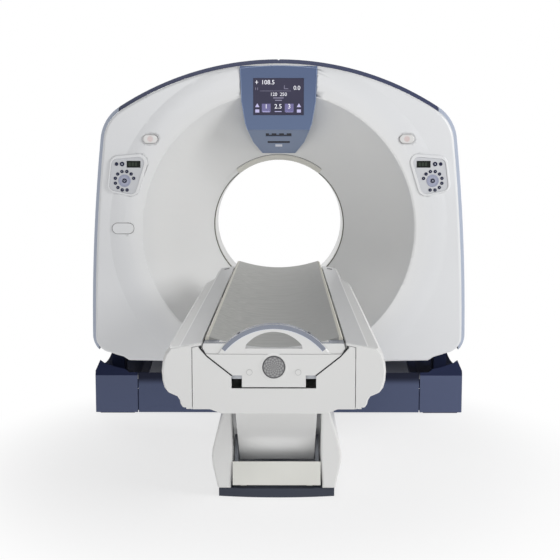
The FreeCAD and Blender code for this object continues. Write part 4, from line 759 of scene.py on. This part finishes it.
seam = [scoop_point(SEAM_R[0], SEAM_PROUD), scoop_point(SEAM_R[1], SEAM_PROUD),
        scoop_point(SEAM_R[1], SEAM_DEEP), scoop_point(SEAM_R[0], SEAM_DEEP)]
piece("strip_seam", at(turned_band(seam, SEAM_SWEEP, SEAM_STEPS), 0, 0, BORE_Z),
      seam_and_painted_shade, HOUSING)
edge_ring = [(BORE_R, EDGE_FRONT_Y[0]), (EDGE_R, EDGE_FRONT_Y[1]), (EDGE_R, EDGE_BACK_Y),
             (BORE_R, EDGE_BACK_Y)]
piece("bore_edge", at(turned_band(edge_ring), 0, 0, BORE_Z), bore_edge_painted_shade, HOUSING)

# ---- control panels: faces of the panel, dial, marks on the keys and the small display ----
MEMBRANE_Y = -0.474
RAISED_Y = (-0.4768, -0.4742)         # depth range of what stands out from the film
DIAL_R = 0.033
DIAL_FACE_R, DIAL_FACE_Y = (0.0125, 0.0265), (MEMBRANE_Y - 0.0008, MEMBRANE_Y + 0.0005)
HUB_RING_R, HUB_RING_Y = (0.0032, 0.0044), (-0.4793, -0.4788)
MARK_DEPTH, MARK_PROUD = 0.0004, 0.0002
KEY_FACE_Y = -0.4765
KEY_RING_R, KEY_COUNT, FIRST_KEY, KEY_STEP = 0.048, 10, 15, 30     # keys round the dial
KEY_MARK, KEY_MARK_LEAN = (0.0018, 0.0024), 15.0
LAMP_R, LAMP_X, LAMP_Z = 0.0028, 0.011, dial_at.z + 0.084
LCD_X, LCD_Y, LCD_Z = 0.047, -0.4755, dial_at.z + 0.083
LCD_LOW_Z = dial_at.z + 0.060
SEGMENT, SEGMENTS_X = (0.011, 0.018), (-0.020, -0.004, 0.012)
TO_FRONT = -0.9                       # a face with less than this in n.y faces the front


def on_membrane(c, n):
    return abs(c.y - MEMBRANE_Y) < 0.0004 and n.y < TO_FRONT


def on_raised_sides(c, n):
    return RAISED_Y[0] < c.y < RAISED_Y[1] and abs(n.y) < 0.5


def on_lcd(c, n):
    return c.z > LCD_LOW_Z and abs(c.y - LCD_Y) < 0.0002 and n.y < TO_FRONT


def on_dial(c, n):
    return (RAISED_Y[0] < c.y < MEMBRANE_Y - 0.0003
            and math.hypot(abs(c.x) - dial_at.x, c.z - dial_at.z) < DIAL_R)


for side, sign in (("left", -1), ("right", 1)):
    # the raised sides round the film take painted shade
    for finish, chosen in ((membrane, on_membrane), (seam_and_painted_shade, on_raised_sides),
                           (lcd_dark, on_lcd), (dial_ring, on_dial)):
        refinished(finished["control_panel_" + side], finish, chosen)
    dial_x = sign * dial_at.x
    dial_face = square_ring(*DIAL_FACE_R, *DIAL_FACE_Y)
    piece("dial_face_" + side, at(turned_band(dial_face, steps=64), dial_x, 0, dial_at.z),
          dial_ring, HOUSING)
    marks = []
    for k in range(KEY_COUNT):
        a = math.radians(FIRST_KEY + KEY_STEP * k)
        marks.append(at(block(*KEY_MARK, MARK_DEPTH), dial_x - sign * KEY_RING_R * math.cos(a),
                        KEY_FACE_Y - MARK_PROUD, dial_at.z + KEY_RING_R * math.sin(a),
                        lean=KEY_MARK_LEAN * k))
    marks.append(at(disc(LAMP_R, MARK_DEPTH, segments=20), dial_x + sign * LAMP_X,
                    KEY_FACE_Y - MARK_PROUD, LAMP_Z))
    piece("key_marks_" + side, gathered(marks), marks_and_painted_highlight, HOUSING)
    piece("lcd_segments_" + side, gathered([
        at(block(*SEGMENT, MARK_DEPTH), dial_x - sign * LCD_X + x, LCD_Y - MARK_PROUD, LCD_Z)
        for x in SEGMENTS_X
    ]), lcd_lit, HOUSING)
    hub_face = square_ring(*HUB_RING_R, *HUB_RING_Y)
    piece("hub_ring_" + side, at(turned_band(hub_face, steps=40), dial_x, 0, dial_at.z),
          marks_and_painted_highlight, side + "_hub")

# ---- oval press buttons with grey rings of painted shade round them, and the plain oval plate ----
CAP_INSET, CAP_EDGE = 0.008, 0.005
STOP_SHADE_RING, STOP_SHADE_RING_Y = (0.0800, 0.0490, 0.0026, 0.0030), -0.4665  # length, height, width, depth
cap = stop_half * 2
for side, sign in (("left", -1), ("right", 1)):
    piece("stop_cap_" + side, at(oval(cap.x - CAP_INSET, cap.z - CAP_INSET, cap.y, CAP_EDGE),
                                 sign * stop_at.x, stop_at.y - stop_half.y, stop_at.z),
          button_white, side + "_stop", instead_of=["stop_button_" + side])
    piece("stop_shade_ring_" + side, at(oval_ring(*STOP_SHADE_RING),
                                      sign * stop_at.x, STOP_SHADE_RING_Y, stop_at.z),
          lock_grey_and_painted_shade, HOUSING)

PLATE_EDGE = 0.003
GROOVE = 0.0050                       # how much longer and higher the groove is than the plate
GROOVE_WIDTH, GROOVE_DEPTH, GROOVE_Y = 0.0024, 0.0040, -0.4695
plate_at, plate_half = spot("cover_plate")
plate = plate_half * 2
piece("oval_plate", at(oval(plate.x, plate.z, plate.y, PLATE_EDGE),
                       plate_at.x, plate_at.y - plate_half.y, plate_at.z),
      cover, HOUSING, instead_of=["cover_plate"])
groove = oval_ring(plate.x + GROOVE, plate.z + GROOVE, GROOVE_WIDTH, GROOVE_DEPTH)
piece("plate_groove", at(groove, plate_at.x, GROOVE_Y, plate_at.z), seam_and_painted_shade, HOUSING)

# ---- table's end: badge and its rim, grey rings of painted shade round the plugs, seams ----
TABLE_END_Y = -2.811
BADGE_R = 0.0350
BADGE_RIM = ((0.0352, -0.0011), (0.0385, -0.0014), (0.0430, -0.0002), (0.0430, 0.0006),
             (0.0352, 0.0006))                # radii, and depths from the table's end
PLUG_X, PLUG_Z = 0.073, 0.717
PLUG_RING_R, PLUG_RING_Y = (0.0078, 0.0092), (TABLE_END_Y - 0.0013, TABLE_END_Y + 0.0004)
SEAM_Y = TABLE_END_Y + 0.0012
V_SEAM, V_SEAM_R = ((0.2190, 0.7890), (0.1998, 0.7648), (0.1258, 0.7060)), 0.0020
LOW_SEAM_X, LOW_SEAM_Z, LOW_SEAM_R = 0.0960, 0.6695, 0.0018


def on_badge(c, n):
    return c.y < TABLE_END_Y - 0.0002 and math.hypot(c.x, c.z - BADGE_Z) < BADGE_R


refinished(finished["table_end_tongue"], badge_metal, on_badge)
plug_ring = square_ring(*PLUG_RING_R, *PLUG_RING_Y)
piece("plug_shade_rings", gathered([
    at(turned_band(plug_ring, steps=40), sign * PLUG_X, 0, PLUG_Z) for sign in SIDES
]), lock_grey_and_painted_shade, "table_top")
badge_rim = [(r, TABLE_END_Y + y) for r, y in BADGE_RIM]
piece("badge_rim", at(turned_band(badge_rim, steps=72), 0, 0, BADGE_Z), table_white,
      "table_top", smooth=40)
piece("tongue_seams", gathered(
    [wire([(sign * x, SEAM_Y, z) for x, z in V_SEAM], V_SEAM_R) for sign in SIDES]
    + [wire([(sign * LOW_SEAM_X, SEAM_Y, LOW_SEAM_Z) for sign in SIDES], LOW_SEAM_R)]
), seam_and_gap_shade, "table_top")

# ---- arched grip: strip on its top, band and a light line of painted highlight on its front, two clips ----
GRIP_R, GRIP_Z = 0.2048, 0.6582
GRIP_SWEEP, GRIP_STEPS = 100.0, 60
GRIP_TOP_Z, GRIP_FRONT_Y = 0.795, -2.780
ARCHES = (("grip_band", (0.1905, 0.2036), 0.0004, grip_strip, "bezel_blue"),
          ("grip_line", (0.1893, 0.1907), 0.0006, marks_and_painted_highlight, "button_white"))
ARCH_BACK_Y = TABLE_END_Y + 0.0006
CLIP, CLIP_EDGE = (0.010, 0.004, 0.016), 0.0008
CLIP_X, CLIP_Y, CLIP_PROUD = 0.105, TABLE_END_Y + 0.004, 0.0008


def on_grip_top(c, n):
    return (c.z > GRIP_TOP_Z and math.hypot(c.x, c.z - GRIP_Z) > GRIP_R - 0.0025
            and abs(n.y) < 0.5 and c.y < GRIP_FRONT_Y)


refinished(finished["cradle_end_cap"], grip_strip, on_grip_top)
for name, radii, proud, finish, slot in ARCHES:
    arch = square_ring(*radii, TABLE_END_Y - proud, ARCH_BACK_Y)
    piece(name, at(turned_band(arch, GRIP_SWEEP, GRIP_STEPS), 0, 0, GRIP_Z), finish, "cradle")
clip_lean = math.degrees(math.asin(CLIP_X / GRIP_R))
clip_z = GRIP_Z + math.sqrt(GRIP_R ** 2 - CLIP_X ** 2) + CLIP_PROUD
piece("grip_clips", gathered([
    at(block(*CLIP, CLIP_EDGE), sign * CLIP_X, CLIP_Y, clip_z, lean=sign * clip_lean)
    for sign in SIDES
]), clip_dark, "cradle")

# ---- table: dark strips of painted shade in the gaps beside the cradle, slots at the far end ----
GAP_SHADE = (0.0022, 0.006, 2.10)
GAP_SHADE_X, GAP_SHADE_Y, GAP_SHADE_Z = 0.2149, TABLE_END_Y + 0.070, 0.7960
END_SLOT, END_SLOT_LEAN = (0.024, 0.034, 0.0008), 7.8
END_SLOT_X, END_SLOT_Y, END_SLOT_Z = 0.250, -0.720, 0.8020
piece("gap_shade_strips", gathered([at(block(*GAP_SHADE), sign * GAP_SHADE_X, GAP_SHADE_Y, GAP_SHADE_Z) for sign in SIDES]),
      seam_and_gap_shade, "table_top")
# the end slots are dark pads of painted shade
piece("end_slots", gathered([
    at(block(*END_SLOT), sign * END_SLOT_X, END_SLOT_Y, END_SLOT_Z, tip=-90.0,
       lean=sign * END_SLOT_LEAN) for sign in SIDES
]), painted_slot_shade, "table_top")

# ---- back of the housing: vents and lock slots as dark pads of painted shade, seams and cover locks ----
BACK_Y = 0.4651
REAR = body_of["rear_cover"]
VENT_BAR, VENT_BARS, VENT_PITCH = (0.200, 0.007, 0.0008), 8, 0.017
VENTS_X, VENTS_Z = (-0.68, 0.68), (0.42, 1.34)
ROUND_SEAM_R, ROUND_SEAM_DEPTH = (0.4830, 0.4860), 0.0008
BACK_SEAM_WIDTH, BACK_SEAM_DEPTH = 0.003, 0.0006
BACK_SEAMS = ((0.310, 1.632), (0.180, 0.395))                 # length and height of the middle
BACK_LOCKS = ((0.86, 0.50), (0.86, 1.0), (0.84, 1.36), (0.42, 1.64), (0.42, 0.36))
LOCK_R, LOCK_DEPTH = 0.012, 0.0008
LOCK_SLOT, LOCK_SLOT_PROUD = (0.014, 0.0026, 0.0006), 0.0002


def from_behind(bm, x, z, y=BACK_Y):
    """Shape turned to face the back."""
    return at(swung(bm, about("Z", 180)), x, y, z)


def lock_head():
    return disc(LOCK_R, LOCK_DEPTH, segments=28)


piece("back_vents", gathered([
    from_behind(block(*VENT_BAR), x, z + VENT_PITCH * k)
    for x in VENTS_X for z in VENTS_Z for k in range(VENT_BARS)
]), painted_slot_shade, REAR)
round_seam = turned_band(square_ring(*ROUND_SEAM_R, 0.0, -ROUND_SEAM_DEPTH))
piece("back_seams", gathered(
    [from_behind(block(BACK_SEAM_WIDTH, length, BACK_SEAM_DEPTH), 0, z) for length, z in BACK_SEAMS]
    + [at(round_seam, 0, BACK_Y, BORE_Z)]), seam_and_painted_shade, REAR)
locks = [(sign * x, z) for sign in SIDES for x, z in BACK_LOCKS]
piece("back_locks", gathered([from_behind(lock_head(), x, z) for x, z in locks]), lock_grey_and_painted_shade,
      REAR)
piece("back_lock_slots", gathered([
    from_behind(block(*LOCK_SLOT), x, z, BACK_Y + LOCK_SLOT_PROUD) for x, z in locks
]), painted_slot_shade, REAR)

# ---- sides of the housing: vents and lock slots as dark pads of painted shade, and cover locks ----
OUTSIDE_X = 1.3                       # rays towards the side bands start here
SIDE_PROUD = 0.0001
SIDE_VENT_BAR, SIDE_VENT_BARS, SIDE_VENT_PITCH = (0.300, 0.008, 0.0010), 9, 0.019
SIDE_VENTS_Y, SIDE_VENTS_Z = (-0.18, 0.18), 1.230
SIDE_LOCKS_Y, SIDE_LOCKS_Z = (-0.36, 0.36), (0.50, 0.95, 1.38)
side_mesh = finished["side_bands"].data
side_skin = BVHTree.FromPolygons([v.co[:] for v in side_mesh.vertices],
                                 [p.vertices[:] for p in side_mesh.polygons])
side_body = body_of["side_bands"]


def on_side(bm, sign, y, z, proud=SIDE_PROUD):
    """Shape laid on the outside of a side band."""
    hit, normal = side_skin.ray_cast(Vector((sign * OUTSIDE_X, y, z)), Vector((-sign, 0, 0)))[:2]
    tilt = -sign * math.atan2(normal.z, abs(normal.x))
    swung(bm, Matrix.Rotation(tilt, 3, "Y") @ about("Z", sign * 90))
    return at(bm, *(hit + normal * proud))


piece("side_vents", gathered([
    on_side(block(*SIDE_VENT_BAR), sign, y, SIDE_VENTS_Z + SIDE_VENT_PITCH * k)
    for sign in SIDES for y in SIDE_VENTS_Y for k in range(SIDE_VENT_BARS)
]), painted_slot_shade, side_body)
side_locks = [(sign, y, z) for sign in SIDES for y in SIDE_LOCKS_Y for z in SIDE_LOCKS_Z]
piece("side_locks", gathered([on_side(lock_head(), *place) for place in side_locks]),
      lock_grey_and_painted_shade, side_body)
piece("side_lock_slots", gathered([
    on_side(block(*LOCK_SLOT), *place, SIDE_PROUD + LOCK_SLOT_PROUD) for place in side_locks
]), painted_slot_shade, side_body)

# ---- back of the stand: cable plate with four sockets ----
STAND_BACK_Y = 0.3925
CABLE_Z = 0.095
CABLE_PLATE, CABLE_PLATE_EDGE, CABLE_PLATE_PROUD = (0.320, 0.100, 0.0030), 0.0008, 0.0020
SOCKET, SOCKET_PROUD = (0.020, 0.0020, 0.0006), 0.0034        # radius, depth and edge
SOCKETS_X = (-0.10, -0.035, 0.035, 0.10)
stand_body = body_of["base_rear_cover"]
piece("cable_plate", from_behind(block(*CABLE_PLATE, CABLE_PLATE_EDGE), 0, CABLE_Z,
                                 STAND_BACK_Y + CABLE_PLATE_PROUD),
      plate_paint, stand_body)
piece("cable_sockets", gathered([
    from_behind(disc(*SOCKET), x, CABLE_Z, STAND_BACK_Y + SOCKET_PROUD) for x in SOCKETS_X
]), black, stand_body)

# ---- floor: pale, partly self-lit, least so under the object to keep its shadow ----
FLOOR_HALF = 30.0
SHADOW_FADE = (0.4, 3.2)              # squared distances between which the floor's glow grows
SHADOW_Y, SHADOW_SQUEEZE = -1.2, 1.3  # middle of the dim patch, and how narrow it is across
LEAST_GLOW = 0.68
bm = bmesh.new()
bmesh.ops.create_grid(bm, x_segments=1, y_segments=1, size=FLOOR_HALF)
floor = placed("floor", as_mesh("floor", bm))
ground = Finish("floor_pale")
dust = ground.noise(3.0, 4.0)
ground.set(Base_Color=ground.blend(dust, (0.88, 0.88, 0.89), (0.90, 0.90, 0.91)),
           Roughness=0.9, Specular_IOR_Level=0.1)
glow = ground.node("ShaderNodeEmission", {}, {"Color": (1, 1, 1, 1), "Strength": 1.0})
ahead = ground.y - SHADOW_Y
squared = ground.x * ground.x * SHADOW_SQUEEZE + ahead * ahead
away = squared.fade(*SHADOW_FADE) * (1.0 - LEAST_GLOW) + LEAST_GLOW
mixer = ground.node("ShaderNodeMixShader", {},
                    {"Fac": away, 1: ground.shader.outputs[0], 2: glow})
out = [n for n in ground.tree.nodes if n.type == "OUTPUT_MATERIAL"][0]
ground.tree.links.new(mixer.socket, out.inputs["Surface"])
floor.data.materials.append(ground.mat)

# ---- world: dim and even for the object, white for the camera and for reflections ----
world = bpy.data.worlds.new("studio")
bpy.context.scene.world = world
world.use_nodes = True
sky = world.node_tree
sky.nodes.clear()


def backdrop(colour, strength):
    node = sky.nodes.new("ShaderNodeBackground")
    node.inputs["Color"].default_value = (*colour, 1.0)
    node.inputs["Strength"].default_value = strength
    return node.outputs[0]


path = sky.nodes.new("ShaderNodeLightPath")
seen, glossy, through = (Shade(sky, path.outputs["Is " + ray + " Ray"])
                         for ray in ("Camera", "Glossy", "Transmission"))
mix = sky.nodes.new("ShaderNodeMixShader")
sky.links.new(seen.most(glossy).most(through).socket, mix.inputs["Fac"])
sky.links.new(backdrop((0.98, 0.99, 1.0), 0.20), mix.inputs[1])
sky.links.new(backdrop((1.0, 1.0, 1.0), 1.0), mix.inputs[2])
end = sky.nodes.new("ShaderNodeOutputWorld")
sky.links.new(mix.outputs[0], end.inputs["Surface"])

# ---- lamps ----
# place, the point it is turned to, size and power in watts
STUDIO = {
    "key_light": ((4.6, -3.4, 3.0), (0, -0.8, 0.8), (2.2, 2.2), 160),
    "front_light": ((-0.8, -13.0, 3.4), (0, -0.6, 0.9), (4.0, 4.0), 250),
    "top_light": ((0.0, -1.2, 5.2), (0, -1.0, 0.5), (4.0, 4.0), 14),
    "back_light": ((-3.6, 6.5, 4.0), (0, 0.3, 0.9), (3.0, 3.0), 130),
    "low_light": ((0.0, -9.0, 0.4), (0, -1.8, 0.3), (3.0, 0.6), 20),
}
# the white floor's glow on the arm cover, which the pedestal's low front panel would hide
ARM_LIGHTS = (((0.0, -1.778, 0.158), (0, -1.700, 0.215), (0.27, 0.03), 0.06),
              ((0.0, -1.732, 0.125), (0, -1.650, 0.165), (0.27, 0.03), 0.05))


def soft_box(name, place, towards, size, power):
    """Square lamp turned towards a point."""
    light = bpy.data.lights.new(name, "AREA")
    light.shape = "RECTANGLE"
    light.size, light.size_y = size
    light.energy = power
    obj = placed(name, light)
    obj.location = place
    way = Vector(towards) - Vector(place)
    obj.rotation_euler = way.to_track_quat("-Z", "Y").to_euler()
    return obj


for name, lamp in STUDIO.items():
    soft_box(name, *lamp)
for lamp in ARM_LIGHTS:
    soft_box("arm_light", *lamp).visible_camera = False

# ---- camera ----
LOOKS_DOWN, LOOKS_LEFT = 6.774, 0.273         # degrees
camera_data = bpy.data.cameras.new("camera")
camera_data.lens = 70.7
camera_data.sensor_width = 36.0
camera = placed("camera", camera_data)
camera.location = (0.034, -6.048, 1.380)
camera.rotation_euler = (math.radians(90 - LOOKS_DOWN), 0.0, math.radians(LOOKS_LEFT))
bpy.context.scene.camera = camera
bpy.context.scene.view_settings.view_transform = "Standard"
